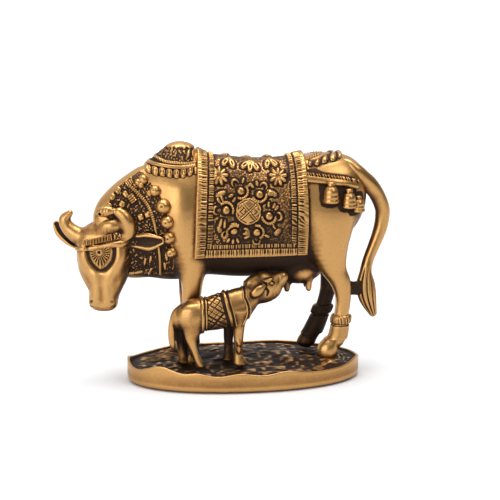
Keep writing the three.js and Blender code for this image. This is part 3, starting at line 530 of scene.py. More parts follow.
class Wax:
    """A form modelled in wax: signed distances to its skin, negative inside, on a grid of cells."""

    FAR = 9.0
    LANDING_STEPS = 44

    def __init__(self, low, high, cell):
        self.low = np.array(low, float)
        self.cell = cell
        self.counts = np.ceil((np.array(high) - self.low) / cell).astype(int) + 1
        self.depth = np.full(self.counts, self.FAR, np.float32)

    def box(self, low, high):
        """The slices of the grid that hold everything between two corners."""
        start = np.clip(np.floor((low - self.low) / self.cell).astype(int), 0, self.counts)
        stop = np.clip(np.ceil((high - self.low) / self.cell).astype(int) + 1, 0, self.counts)
        return tuple(slice(a, max(a, b)) for a, b in zip(start, stop))

    def places(self, box):
        """The grid's x, y and z in a box, each lying along its own axis."""
        lines = [self.low[i] + self.cell * np.arange(box[i].start, box[i].stop) for i in range(3)]
        shapes = ((-1, 1, 1), (1, -1, 1), (1, 1, -1))
        return [line.reshape(shape).astype(np.float32) for line, shape in zip(lines, shapes)]

    def limb(self, stations, reach, across=SIDEWAYS, facing=None, squareness=2.0, dome=1.0, spans=4):
        """Distances to an oval carried along the smooth course of its stations. A point's distance is its
        reach from the nearest centre, less the oval's own reach in that direction."""
        course = smooth_course(stations, spans)
        centre, size = course[:, :3], course[:, 3:5]
        along = unit(np.gradient(centre, axis=0))
        level = along if facing is None else np.broadcast_to(facing, along.shape)
        side = unit(across - (level @ across)[:, None] * level)
        up = np.cross(level, side)
        margin = np.abs(side) * size[:, :1] + np.abs(up) * size[:, 1:] + reach
        margin = margin + np.abs(level) * size.min(1)[:, None] * max(dome, 0.3)
        low, high = centre - margin, centre + margin
        whole = self.box(low.min(0), high.max(0))
        distance = np.full([s.stop - s.start for s in whole], self.FAR, np.float32)
        last = len(course) - 2
        for k in range(last + 1):
            pair = slice(k, k + 2)
            box = self.box(low[pair].min(0), high[pair].max(0))
            if any(s.stop <= s.start for s in box):
                continue
            axes = (side[pair], up[pair], level[pair])
            domes = (dome if k == 0 else 1.0, dome if k == last else 1.0)
            found = self.stretch(self.places(box), centre[pair], axes, size[pair], facing, domes, squareness)
            local = tuple(slice(b.start - w.start, b.stop - w.start) for b, w in zip(box, whole))
            distance[local] = np.minimum(distance[local], found)
        return whole, distance

    @staticmethod
    def stretch(place, centre, axes, size, facing, domes, squareness):
        """Distances to the stretch between two neighbouring ovals of a limb. domes tells how far each
        end bulges, in shares of the oval's lesser half size."""
        stride = centre[1] - centre[0]
        measure = stride if facing is None else np.asarray(facing)
        share = sum((place[i] - centre[0, i]) * measure[i] for i in range(3)) / (stride @ measure)
        share = np.clip(share, 0, 1)
        off = [place[i] - (centre[0, i] + share * stride[i]) for i in range(3)]
        wide, deep = (size[0, i] + share * (size[1, i] - size[0, i]) for i in (0, 1))
        bulge = np.where(share <= 0, domes[0], np.where(share >= 1, domes[1], 1.0))
        ratios = []
        for axis, half in zip(axes, (wide, deep, np.minimum(wide, deep) * bulge)):
            change = axis[1] - axis[0]
            away = sum(off[i] * (axis[0, i] + share * change[i]) for i in range(3))
            ratios.append(np.abs(away) / half)
        if squareness == 2.0:
            ratio = np.sqrt(sum(r * r for r in ratios))
        else:
            ratio = sum(r**squareness for r in ratios) ** (1 / squareness)
        away = np.sqrt(sum(o * o for o in off))
        return away - away / np.maximum(ratio, 1e-4)

    def add(self, stations, blend=3.0, **shape):
        """Joins a limb to the form with a fillet as wide as the blend."""
        box, new = self.limb(stations, blend + 2 * self.cell, **shape)
        old = self.depth[box]
        share = np.clip(0.5 + 0.5 * (new - old) / blend, 0, 1)
        self.depth[box] = new + (old - new) * share - blend * share * (1 - share)

    def cut(self, stations, blend=0.8, **shape):
        """Takes a limb's shape out of the form, its edge rounded by the blend."""
        box, tool = self.limb(stations, blend + 2 * self.cell, **shape)
        old = self.depth[box]
        share = np.clip(0.5 - 0.5 * (old + tool) / blend, 0, 1)
        self.depth[box] = old - (old + tool) * share + blend * share * (1 - share)

    def sample(self, points):
        """The distance at any point, straight between the eight grid places round it."""
        at = (points - self.low) / self.cell
        base = np.clip(np.floor(at).astype(int), 0, self.counts - 2)
        part = np.clip(at - base, 0, 1)
        value = np.zeros(len(points))
        for corner in itertools.product((0, 1), repeat=3):
            weight = np.prod(np.where(corner, part, 1 - part), axis=1)
            i, j, k = (base + corner).T
            value += weight * self.depth[i, j, k]
        return value

    def normals(self, points):
        """The way out of the form at any point: how fast the distance grows along each axis."""
        steps = 0.8 * self.cell * np.eye(3)
        return unit(np.stack([self.sample(points + e) - self.sample(points - e) for e in steps], -1))

    def land(self, start, direction):
        """Carries a grid of places along a direction, or each along its own, until they meet the skin.
        Returns them and the way out there."""
        start = np.asarray(start, float)
        points = start.reshape(-1, 3)
        direction = unit(np.broadcast_to(np.asarray(direction, float), start.shape).reshape(-1, 3))
        for _ in range(self.LANDING_STEPS):
            points = points + direction * np.clip(self.sample(points) * 0.75, -1, 2)[:, None]
        return points.reshape(start.shape), self.normals(points).reshape(start.shape)

    def soften(self, rounds):
        """Evens the distances out between neighbouring cells, so that joints run smooth."""
        for _ in range(rounds):
            for axis in range(3):
                d = np.moveaxis(self.depth, axis, 0)
                d[1:-1] = 0.5 * d[1:-1] + 0.25 * (d[:-2] + d[2:])

    def skin(self):
        """Points and faces of the skin: a point in each cell that it crosses, at the mean of the places
        where it cuts the cell's edges, and a face round each grid edge that it cuts."""
        metal = self.depth < 0
        count = np.zeros(np.array(metal.shape) - 1, np.uint8)
        for i, j, k in itertools.product((0, 1), repeat=3):
            count += metal[i : i + count.shape[0], j : j + count.shape[1], k : k + count.shape[2]]
        cells = np.argwhere((count > 0) & (count < 8))
        number = np.full(count.shape, -1, np.int64)
        number[tuple(cells.T)] = np.arange(len(cells))
        total, cuts = np.zeros((len(cells), 3)), np.zeros(len(cells))
        for axis in range(3):
            for corner in itertools.product((0, 1), repeat=3):
                if corner[axis]:
                    continue
                beyond = np.array(corner) + np.eye(3, dtype=int)[axis]
                near = self.depth[tuple((cells + corner).T)]
                far = self.depth[tuple((cells + beyond).T)]
                cut = (near < 0) != (far < 0)
                share = np.where(cut, near / np.where(cut, near - far, 1), 0)
                place = np.array(corner) + share[:, None] * np.eye(3)[axis]
                total += place * cut[:, None]
                cuts += cut
        points = self.low + self.cell * (cells + total / cuts[:, None])
        faces = []
        for axis in range(3):
            one = np.eye(3, dtype=int)[(axis + 1) % 3]
            two = np.eye(3, dtype=int)[(axis + 2) % 3]
            trim = [slice(None, -1) if i == axis else slice(1, -1) for i in range(3)]
            beyond = [slice(1, None) if i == axis else slice(1, -1) for i in range(3)]
            first, second = metal[tuple(trim)], metal[tuple(beyond)]
            edges = np.argwhere(first != second)
            inner = first[tuple(edges.T)]
            at = edges + one + two
            face = np.stack([number[tuple((at - s).T)] for s in (0 * one, one, one + two, two)], -1)
            faces.append(np.where(inner[:, None], face, face[:, ::-1]))
        return self.evened(points, np.concatenate(faces))

    def evened(self, points, faces, rounds=3):
        """Evens the points out over the skin: each goes to the mean of its neighbours, then back onto
        the skin along the way out."""
        start, stop = faces.T.ravel(), np.roll(faces, -1, axis=1).T.ravel()
        share = np.bincount(start, minlength=len(points))[:, None]
        for _ in range(rounds):
            mean = [np.bincount(start, points[stop, i], len(points)) for i in range(3)]
            points = 0.4 * points + 0.6 * np.stack(mean, -1) / share
            points = points - self.normals(points) * self.sample(points)[:, None] * 0.8
        return points, faces


def mirrored(stations):
    """The same stations on the other side of the middle plane."""
    return [(x, -y, *rest) for x, y, *rest in stations]


def on_cow(stations):
    """Stations of the cow in the part's frame."""
    s = np.array(stations, float)
    s[..., :3] += COW_AT
    return s


cow = Wax((-72, -16, 4), (58, 23, 113), BODY_CELL)
cow.add(on_cow(BARREL), facing=AHEAD, squareness=BARREL_SQUARENESS, dome=0.45, spans=8)
cow.add(on_cow(CREST), blend=4)
cow.add(on_cow(HUMP), blend=4)
cow.add(on_cow(UDDER), blend=4)
for leg in (FORELEG, mirrored(FORELEG), NEAR_HINDLEG, FAR_HINDLEG):
    cow.add(on_cow(leg), blend=4, facing=DOWN, dome=0.3)
for x, y in itertools.product(TEATS_AT, (-TEATS_APART, TEATS_APART)):
    cow.add(on_cow([(x, y, z, half, half) for z, half in TEAT]), blend=1.5)
cow.soften(2)
cast("cow_body", *cow.skin())


# The cow's head is a blunt wedge, lowered and turned towards the onlooker, with swelling brows, two
# ridges down the nose, crescent horns and ears like hollowed leaves. Its places are measured across
# the face towards her left, out of the face, and up from the ground.

HEAD_CELL = 0.33
HEAD_BOX = ((-92, -19, 33), (-33, 12, 87))
HEAD_AT = np.array([-63.9, -5.6])
FACE_TURN = math.radians(17)
FACE_ACROSS = np.array([math.cos(FACE_TURN), -math.sin(FACE_TURN), 0.0])
FACE_OUT = np.array([-math.sin(FACE_TURN), -math.cos(FACE_TURN), 0.0])
FACE_MIDDLE = 1.7
SKULL_SQUARENESS = 2.6
SKULL = [
    (1.3, -0.4, 60.3, 7.8, 5.3),
    (1.4, 0, 56, 11.6, 7.8),
    (1.2, 0, 50, 12.2, 8.1),
    (1.3, 0.4, 45.5, 11.7, 7.8),
    (1.6, 1.2, 41, 9.8, 6.9),
    (1.9, 2.2, 37, 7.8, 5.7),
    (1.6, 3.1, 33, 6.7, 4.9),
    (1.3, 3.8, 29, 6.5, 4.5),
]
BROW = [
    (8.2, 4.9, 54, 2.6, 2.4),
    (8, 5.4, 49.5, 2.8, 2.6),
    (6.2, 5.6, 45, 2.2, 2.2),
    (3.6, 6, 41.5, 1.4, 1.4),
]
NOSE_RIDGE = [
    (3.4, 6.3, 42, 1.2, 1.2),
    (2.6, 6.5, 38, 1.7, 1.6),
    (2.8, 6.7, 34, 1.8, 1.6),
    (3.2, 6.9, 30.8, 1.4, 1.3),
]
LIP_LINE = [
    (-7.2, 5, 28.3, 0.4, 0.35),
    (-3, 8.6, 27.1, 0.4, 0.4),
    (0, 9, 26.9, 0.4, 0.4),
    (3, 8.6, 27.1, 0.4, 0.4),
    (7.2, 5, 28.3, 0.4, 0.35),
]
NOSTRIL = [(4.2, 8.6, 30.5, 0.45, 0.7), (5.6, 7.6, 29.9, 0.7, 1)]
EYE = [(11.4, 4.6, 48, 0.6, 1.7), (12.3, 2.4, 49.4, 0.8, 1.6)]
EYE_LID = [(10.3, 5.4, 48.9, 0.45, 0.5), (11.2, 4.2, 50.2, 0.5, 0.6), (12, 2.4, 50.2, 0.4, 0.5)]
HORN = [
    (10.2, 2, 57.4, 3.6),
    (12.8, 2, 60.8, 3.5),
    (13.2, 3, 64.6, 3.3),
    (11.9, 3.6, 68, 3),
    (9.6, 4, 70.2, 2.4),
]
FAR_HORN = [
    (-6, 1, 56.8, 4.2),
    (-11, 1.4, 58.9, 3.8),
    (-14.8, 1.8, 62.2, 3.1),
    (-16, 2.2, 65.8, 2.6),
    (-13.4, 2.4, 68.9, 1.3),
]
EAR = [
    (11, 0.6, 56.4, 1.8, 1.8),
    (18.2, 2, 57, 3.6, 1.5),
    (23, 3.2, 57.3, 4, 1.4),
    (28.6, 4.4, 58.3, 1.8, 1.1),
]
FAR_EAR = [
    (-10.6, -0.4, 53.2, 1.9, 1.8),
    (-15, -1.4, 56.4, 3.2, 1.5),
    (-18.9, -2, 60, 3.4, 1.4),
    (-21.6, -2.4, 62.8, 1.7, 1.1),
]
FORELOCK = [
    (1.8, 2.4, 61.6, 3, 3),
    (3.6, 3.4, 63.4, 3.5, 3.5),
    (6, 3.6, 64, 3.6, 3.6),
    (9, 2.6, 64.2, 3.2, 3.2),
]
KNOB = [(1, 4.6, 70.2, 2.1, 2.1), (3.2, 5, 70.7, 2.5, 2.4), (5.4, 4.6, 70.9, 2.1, 2.1)]
KNOB_SLITS = [
    [(at, 6.6, 68.6, 0.34, 0.5), (at + 0.1, 7.4, 70.6, 0.34, 0.6), (at, 6.6, 72.8, 0.34, 0.5)]
    for at in (2.9, 4.2, 5.5)
]
KNOB_HOLE = [(1.3, 6.9, 69.6, 0.75, 0.75), (1.2, 4.8, 69.6, 0.6, 0.6)]
LEAF_GROOVE_SIDE = [(2.4, 45.4), (4.6, 48), (5.8, 51.2), (6.1, 54.6)]
LEAF_GROOVE_SIZE = (0.85, 1.05)
FACE_FROM = 14.0
SKULL_MIDDLE = 1.4
SKULL_REACH = 15
BAND_GRID = (52, 260)
BAND_REACH = 106
BAND_RISE = (-1.7, 5.2)
BAND_HEIGHT = 55.3
BAND_TILT = 0.165
BAND_RADIUS = 12
LEAF_GRID = (84, 84)
LEAF_REACH = 5.8
LEAF_HEIGHTS = (44.8, 56.2)


def on_face(stations, side=None):
    """Stations of the head in the part's frame. side, -1 or 1, measures them from the face's middle."""
    s = np.array(stations, float)
    across = s[..., :1] if side is None else FACE_MIDDLE + side * s[..., :1]
    s[..., :2] = HEAD_AT + across * FACE_ACROSS[:2] + s[..., 1:2] * FACE_OUT[:2]
    s[..., :3] += COW_AT
    return s


def step(value, width):
    """0 below nothing and 1 above it, eased over a width."""
    return eased(np.clip(value / width + 0.5, 0, 1))


def within(value, low, high, edge=0.3):
    """1 between two limits and 0 outside them, eased over an edge."""
    return step(value - low, edge) * step(high - value, edge)


def ear(stations, across, hollow):
    """A thick leaf with its inside taken out. hollows keeps the inside, which is stained later."""
    leaf = on_face(stations)
    head.add(leaf, blend=1.2, across=across, spans=6)
    inner = leaf.copy()
    inner[:, :3] += np.asarray(hollow) * inner[:, 4:] * 1.25
    inner[:, 3:] *= (0.74, 1.1)
    head.cut(inner, blend=0.5, across=across, spans=6)
    hollows.add(inner, blend=0.5, across=across, spans=6)


def spread(over, down, grid):
    """The two measures of a grid of rows and columns: over along each row, down from row to row."""
    return np.linspace(*over, grid[1])[None, :], np.linspace(*down, grid[0])[:, None]


def before_face(across, height):
    """Where lines straight into the face meet it, and the way out there."""
    return head.land(on_face(grid_of(across, FACE_FROM, height)), -FACE_OUT)


def round_face(turn, height):
    """The same for lines to the head's upright axis, each from a turn away from straight ahead."""
    way = np.cos(turn)[..., None] * FACE_OUT + np.sin(turn)[..., None] * FACE_ACROSS
    axis = on_face(grid_of(SKULL_MIDDLE + 0 * turn, 0, height))
    return head.land(axis + SKULL_REACH * way, -way)


head = Wax(*HEAD_BOX, HEAD_CELL)
hollows = Wax(*HEAD_BOX, 2 * HEAD_CELL)
head.add(on_face(SKULL), across=FACE_ACROSS, facing=DOWN, squareness=SKULL_SQUARENESS, dome=0.7, spans=6)
for side in (-1, 1):
    head.add(on_face(BROW, side), blend=2.4, spans=6)
    head.add(on_face(NOSE_RIDGE, side), blend=2.8, spans=6)
    head.cut(on_face(NOSTRIL, side), blend=0.6)
groove = [(-x, z) for x, z in LEAF_GROOVE_SIDE[::-1]] + [(0, 44.4)] + LEAF_GROOVE_SIDE
groove_across, groove_height = np.array(groove).T
groove_at, groove_out = before_face(groove_across + FACE_MIDDLE, groove_height)
groove_size = np.full((len(groove), 2), LEAF_GROOVE_SIZE)
head.cut(np.hstack([groove_at + 0.2 * groove_out, groove_size]), blend=0.5)
head.soften(1)

band_turn, band_rise = spread(np.radians((-BAND_REACH, BAND_REACH)), BAND_RISE, BAND_GRID)
band_middle = BAND_HEIGHT + BAND_TILT * BAND_RADIUS * np.sin(band_turn)
band_skin, band_out = round_face(band_turn, band_middle + band_rise)
leaf_across, leaf_height = spread((-LEAF_REACH, LEAF_REACH), LEAF_HEIGHTS, LEAF_GRID)
leaf_skin, leaf_out = before_face(leaf_across + FACE_MIDDLE, leaf_height)

head.add(on_face(FORELOCK), blend=2)
head.add(on_face(KNOB), blend=0.8)
for slit in (*KNOB_SLITS, KNOB_HOLE):
    head.cut(on_face(slit), blend=0.3)
for horn in (HORN, FAR_HORN):
    head.add(on_face([(*s, s[3]) for s in horn]), blend=1.6, spans=6)
for side in (-1, 1):
    head.add(on_face(EYE_LID, side), blend=0.8)
    head.cut(on_face(EYE, side), blend=0.4)
head.cut(on_face(LIP_LINE, 1), blend=0.5)
ear(EAR, np.array([0, 0, 1.0]), (-0.3, -0.95, -0.05))
ear(FAR_EAR, unit(np.array([0.72, 0, 0.66])), (0.15, -0.98, 0.1))

head_skin, head_faces = head.skin()
from_head = head_skin[:, :2] - COW_AT[:2] - HEAD_AT
across = from_head @ FACE_ACROSS[:2]
height = head_skin[:, 2] - COW_AT[2]
brushed = 0.38 * within(height, 60, 65.5, 2.5) * within(across, -7, 9, 4)
brushed = brushed * (1 + 0.6 * grain(3 * across, height, 1.2))
# Painted shade on the side of the jaw that turns away, low on the near side of the face.
cheek_shade = 0.3 * step(across - 10.5, 4) * step(58 - height, 4)
in_ear = 0.6 * step(0.35 - hollows.sample(head_skin), 0.5)
cast("cow_head", head_skin, head_faces, stained=np.maximum.reduce([brushed, cheek_shade, in_ear]))


# The browband is a smooth strip with a ribbed one above it, and a medallion like a leaf hangs from it.
# They are worked in relief: a fine grid laid on the skin, raised by its pattern and sunk at its edge.

HIDDEN = -0.35
STRIP_HALF = 1.0
STRIP_RAISE = 1.15
RIBBED_FROM = 1.6
RIBBED_TO = 4.3
RIBBED_ENDS = (-9.5, 8.2)
KNOT_AT = (10.6, 2.95)
RIB_PITCH = 1.0
LEAF_TIP = 45.6
LEAF_TOP = 55.4
LEAF_HALF = 4.45
LEAF_RAISE = 1.35
LEAF_PIT = (-0.4, 52.9)


def rim_of(rows, columns):
    """The numbers of a grid's outermost points, in order round it."""
    over, down = np.arange(columns - 1), np.arange(rows - 1)
    last = rows * columns - 1
    return np.concatenate([over, down * columns + columns - 1, last - over, (rows - 1 - down) * columns])


def relief(name, skin, out, lift, sunk=1.0, stained=0.0, core=None):
    """A grid of points on the skin, each raised along the way out by its lift. Its edge goes down into
    the metal and is closed to a point inside."""
    rows, columns = lift.shape
    ring = rim_of(rows, columns)
    count, first = len(ring), rows * columns
    top = (skin + out * lift[..., None]).reshape(-1, 3)
    foot = (skin - out * sunk).reshape(-1, 3)[ring]
    core = foot.mean(0) if core is None else core
    here = np.arange(count)
    after = (here + 1) % count
    wall = np.stack([ring[after], ring[here], first + here, first + after], -1)
    stain = np.broadcast_to(stained, lift.shape).ravel()
    cast(
        name,
        np.concatenate([top, foot, core[None]]),
        quads(rows, columns),
        wall,
        lid(first + count, first, count)[:, ::-1],
        stained=np.concatenate([stain, stain[ring], [0]]),
    )


def grooves(place, pitch, sharp):
    """Narrow grooves: 1 at the bottom of each and 0 on the broad ribs between."""
    return np.abs(np.cos(np.pi * place / pitch)) ** (2 * sharp)


def inside(mask, level):
    """A height where the mask is 1, sunk out of sight where it is 0."""
    return HIDDEN + (level - HIDDEN) * mask


def raised(*shapes):
    """The highest of several shapes, each a mask and the height it has inside."""
    return np.maximum(HIDDEN, np.maximum.reduce([inside(mask, level) for mask, level in shapes]))


band_along = BAND_RADIUS * band_turn
strip = within(band_rise, -STRIP_HALF - 0.04 * (band_along + 10), STRIP_HALF, 0.35)
strip_level = STRIP_RAISE * (1 - 0.35 * (band_rise / STRIP_HALF) ** 2)
ribbed = within(band_rise, RIBBED_FROM, RIBBED_TO, 0.35) * within(band_along, *RIBBED_ENDS, 0.4)
ribbed_level = 1.35 - 0.6 * grooves(band_along + 0.15 * np.sin(3 * band_along), RIB_PITCH, 1.2)
knot_along, knot_rise = band_along - KNOT_AT[0], band_rise - KNOT_AT[1]
knot = within(knot_along, -1.7, 1.7) * within(band_rise, RIBBED_FROM, RIBBED_TO)
crossed = np.minimum(np.abs(knot_along - knot_rise), np.abs(knot_along + knot_rise))
knot_level = 1.2 - 0.7 * peak(crossed, 0.3)
band_lift = raised((strip, strip_level), (ribbed, ribbed_level), (knot, knot_level))
relief("browband", band_skin, band_out, band_lift)

leaf_share = np.clip((leaf_height - LEAF_TIP) / (LEAF_TOP - LEAF_TIP), 0.001, 1)
leaf_half = LEAF_HALF * (1 - (1 - np.minimum(leaf_share, 0.8) / 0.8) ** 2.1)
leaf = step(leaf_half - np.abs(leaf_across), 0.35) * within(leaf_height, LEAF_TIP, LEAF_TOP + 1)
from_pit = np.hypot(leaf_across - LEAF_PIT[0], leaf_height - LEAF_PIT[1])
ray = np.degrees(np.arctan2(leaf_across, LEAF_PIT[1] - leaf_height))
veins = grooves(ray + 8, 17, 1.5) * step(from_pit - 1.3, 0.8)
leaf_level = LEAF_RAISE - 0.6 * veins - peak(from_pit, 0.75) - 0.03 * leaf_across**2
relief("forehead_leaf", leaf_skin, leaf_out, raised((leaf, leaf_level)))


# The saddle cloth lies over the barrel from hem to hem. Its border is a hatched strip, a groove and a
# braid, and its dark stippled field carries a rosette in a ring of flowers, with daisies and fans above.

CLOTH_FRONT_TOP = -21.0
CLOTH_FRONT_HEM = -23.4
CLOTH_BACK = 27.5
CLOTH_HEM = 49.3
CLOTH_SQUARENESS = (2.2, 2.9)
CLOTH_THICKNESS = 1.3
CLOTH_COLUMNS = 200
CLOTH_NEAR_ROWS = 236
CLOTH_FAR_ROWS = 150
CLOTH_STAIN = 0.68
CLOTH_CORE = (2, 0, 66)
CLOTH_AXIS = 76
CLOTH_SUNK = 2.4
BORDER = 4.7
BORDER_RAISE = 0.85
BORDER_PITCH = 1.15
BORDER_GROOVE = 0.7
BRAID = 2.1
BRAID_RAISE = 0.75
BRAID_PITCH = 1.0
HEM_NARROWER = 1.2
ROSETTE_AT = (0.6, 70.2)
ROSETTE_RADIUS = 5.9
FLOWERS = [
    (-2.6, 78.7, -35, 125, (35, 75, 205, 230)),
    (5.6, 77.4, -75, 60, (100, 130, 10, 0)),
    (-9.3, 70.9, 55, 180, (110, 130, 240, 262)),
    (9.6, 68.3, -90, 0, (90, 62, 45, 300)),
    (-5.9, 62.1, 130, 200, (215, 240, 265, 290)),
    (4.1, 61.0, 20, -90, (160, 185, 205, -20)),
]  # x, z, and the turns of the flower's ribbed arc, its crescent and its four small leaves, in degrees
DAISIES = [(-11.9, 84.2), (14.4, 84.4)]
FANS = [(-6.6, 88.6, (-34, 12)), (2.8, 88.0, (-46, -8, 30)), (11.2, 88.8, (-14, 34))]
FRONDS = [
    (-11.6, 77.2, 25),
    (11.3, 78.0, 150),
    (-12.2, 64, 100),
    (13.6, 61.6, 60),
    (0.2, 60.6, 100),
    (-9.4, 59.3, 250),
]


def barrel_section(x):
    """The barrel's middle, centre height and half sizes at x."""
    course = smooth_course(BARREL, 12)
    return [np.interp(x, course[:, 0], course[:, i]) for i in (1, 2, 3, 4)]


def cloth_ways(x, fall, side):
    """Points of the cloth by how far they have fallen from the ridge, 0, to the hem, 1."""
    middle, centre, across, deep = barrel_section(x)
    hem_turn = np.arcsin(signed_power((CLOTH_HEM - centre) / deep, CLOTH_SQUARENESS[1] / 2))
    turn = np.pi / 2 + (hem_turn - np.pi / 2) * fall
    power = 2 / (CLOTH_SQUARENESS[0] + (CLOTH_SQUARENESS[1] - CLOTH_SQUARENESS[0]) * fall)
    y = middle + side * across * signed_power(np.cos(turn), power)
    return grid_of(x, y, centre + deep * signed_power(np.sin(turn), power))


def lengths(line):
    """How far along a line each of its points lies."""
    return np.concatenate([[0], np.cumsum(np.linalg.norm(np.diff(line, axis=0), axis=1))])


def even_falls(count, side):
    """Falls that lie evenly along the cloth's middle column, from the ridge to the hem, and its length."""
    fine = np.linspace(0, 1, 900)
    drape = cloth_ways((CLOTH_FRONT_TOP + CLOTH_BACK) / 2, fine, side)
    length = lengths(drape)
    return np.interp(np.linspace(0, length[-1], count), length, fine), length[-1]


def grid_normals(points):
    """The way out of a grid of points, from the steps to the neighbours on either side."""
    return unit(np.cross(np.gradient(points, axis=1), np.gradient(points, axis=0)))


near_fall, near_drape = even_falls(CLOTH_NEAR_ROWS, -1)
far_fall, far_drape = even_falls(CLOTH_FAR_ROWS, 1)
fall = np.concatenate([near_fall[::-1], far_fall[1:]])[:, None]
side = np.concatenate([np.full(CLOTH_NEAR_ROWS, -1.0), np.full(CLOTH_FAR_ROWS - 1, 1.0)])[:, None]
near_length = np.linspace(0, near_drape, CLOTH_NEAR_ROWS)
far_length = np.linspace(far_drape, 0, CLOTH_FAR_ROWS)
to_hem = np.concatenate([near_length, far_length[1:]])[:, None]
run = np.linspace(0, 1, CLOTH_COLUMNS)[None, :]
cloth_x = CLOTH_FRONT_TOP + (CLOTH_FRONT_HEM - CLOTH_FRONT_TOP) * fall**1.5
cloth_x = cloth_x + (CLOTH_BACK - cloth_x) * run
cloth_points = cloth_ways(cloth_x, fall, side)
cloth_z = cloth_points[..., 2]
cloth_points = cloth_points + COW_AT
cloth_out = grid_normals(cloth_points)
from_axis = cloth_points - [0, COW_AT[1], CLOTH_AXIS]
cloth_out = cloth_out * np.sign((cloth_out * from_axis).sum(-1).mean())
gap = cow.sample(cloth_points.reshape(-1, 3)).reshape(cloth_z.shape)
push = cloth_out * np.clip(CLOTH_THICKNESS - gap, 0, 3)[..., None]
push[..., 2] = np.maximum(push[..., 2], 0)
cloth_points = cloth_points + push
pushed_out = grid_normals(cloth_points)
cloth_out = pushed_out * np.sign((cloth_out * pushed_out).sum(-1).mean())

side_edge = np.minimum(cloth_x - cloth_x[:, :1], CLOTH_BACK - cloth_x)
inward = np.minimum(side_edge, HEM_NARROWER * to_hem)
by_side = (side_edge < BORDER + 0.3) | (side_edge < to_hem)
lengthways = np.where(by_side, to_hem, cloth_x)


def uneven(place):
    """A place moved a little to and fro, as handwork spaces its strokes."""
    return place + 0.22 * np.sin(1.9 * place) + 0.12 * np.sin(4.3 * place + 1)


def turned(x, y, degrees):
    """The same place seen from axes turned by some degrees."""
    c, s = math.cos(math.radians(degrees)), math.sin(math.radians(degrees))
    return x * c + y * s, y * c - x * s


def drop(x, y, turn, start, length, width):
    """A teardrop, thin at its start: 1 at its crest, falling to 0 at its edge and less beyond."""
    ahead, off = turned(x, y, turn)
    share = np.clip((ahead - start) / length, 0, 1)
    half = width / 2 * np.sqrt(np.maximum(share * (1.25 - share) * 2.4, 0.02))
    away = np.hypot(ahead - (start + share * length), off)
    return np.clip(1 - (away / half) ** 2, -1, 1)


def swelling(reach, height):
    """A rounded form: its height where the reach is 1, steep where it nears 0."""
    return inside(np.sqrt(np.clip(reach, 0, 1)), height)


def crescent(x, y, turn, radius, bite, offset):
    """A moon lying outward of the place: a disc less a smaller disc, the bite."""
    ahead, off = turned(x, y, turn)
    disc = 1 - ((ahead - offset) ** 2 + off**2) / radius**2
    bitten = 1 - ((ahead - offset + 0.45 * radius) ** 2 + off**2) / bite**2
    return np.clip(disc, 0, 1) * step(-bitten, 0.5) * 1.6


def flower_relief(x, y, arc, moon, leaves):
    """A bead in a dark ring, a ribbed arc round part of it, a crescent and four small pointed leaves."""
    from_bead = np.hypot(x, y)
    angle = (np.degrees(np.arctan2(y, x)) - arc + 540) % 360 - 180
    bead = swelling(1 - (from_bead / 1.75) ** 4, 1.5)
    reach = 1 - np.abs((from_bead - 3.1) / 0.8) ** 2.5 - np.clip(np.abs(angle) / 92, 0, 2) ** 12
    ribs = 0.6 * grooves(angle, 17, 0.8)
    shapes = [bead, swelling(reach, 1.15) - ribs * (reach > 0)]
    shapes.append(swelling(crescent(x, y, moon, 1.9, 1.45, 4.5), 1.15))
    for lean in leaves:
        vein = 0.25 * peak(turned(x, y, lean)[1], 0.22)
        shapes.append(swelling(drop(x, y, lean, 3.7, 2.0, 1.5), 1.05) - vein)
    return np.maximum.reduce(shapes)


def rosette_relief(x, y):
    """A lobed disc parted by a broad cross of double lines, with chevrons to the left and right."""
    out = np.hypot(x, y)
    angle = np.degrees(np.arctan2(y, x))
    edge = ROSETTE_RADIUS * (1 - 0.05 * np.abs(np.cos(np.radians(angle * 3 + 20))))
    disc = step(edge - out, 0.5)
    one, two = turned(x, y, 41)
    scored = [peak(np.abs(line) - 0.5, 0.2) for line in (one, two)]
    beside = np.abs(x) - np.abs(y)
    chevron = grooves(np.abs(x) * 0.8 + np.abs(y) * 0.9 + 0.4, 1.7, 1.4) * step(beside - 0.7, 0.4)
    broken = step(np.abs(np.sin(np.radians(angle * 2 + 8))) - 0.3, 0.3)
    ring = peak(out - 0.84 * edge, 0.24) * broken
    level = 1.15 - 0.55 * np.maximum.reduce([*scored, 0.7 * chevron, ring]) - 0.01 * out**2
    return inside(disc, level)


def daisy_relief(x, y):
    """Nine round-ended petals round a small holed eye."""
    out = np.hypot(x, y)
    leaves = [swelling(drop(x, y, turn, 0.9, 2.6, 2.15), 1.25) for turn in range(6, 366, 40)]
    eye = swelling(1 - (out / 1.05) ** 2, 1.1) - 0.8 * peak(out, 0.4)
    return np.maximum.reduce([*leaves, eye])


def fan_relief(x, y, leans):
    """Big teardrops spread downward from one point, each with a slit down its middle."""
    shapes = []
    for lean in leans:
        ahead, off = turned(x, y - 3.2, -90 + lean)
        slit = 0.7 * np.exp(-((off / 0.42) ** 2) - ((ahead - 4.1) / 1.3) ** 4)
        shapes.append(swelling(drop(x, y - 3.2, -90 + lean, 0.4, 4.6, 3.3), 1.3) - slit)
    return np.maximum.reduce(shapes)


def frond_relief(x, y, turn):
    """A feathered leaf: strokes that slant back from its middle line."""
    ahead, off = turned(x, y, turn)
    reach = 1 - (ahead / 2.9) ** 2 - (off / 1.35) ** 2
    return swelling(reach, 0.8) - 0.4 * grooves(ahead - 0.8 * np.abs(off), 0.85, 0.8) * (reach > 0)


def on_drape(z):
    """How far from the hem along the near side a height lies."""
    return np.interp(z, cloth_z[:CLOTH_NEAR_ROWS, CLOTH_COLUMNS // 2], near_length)


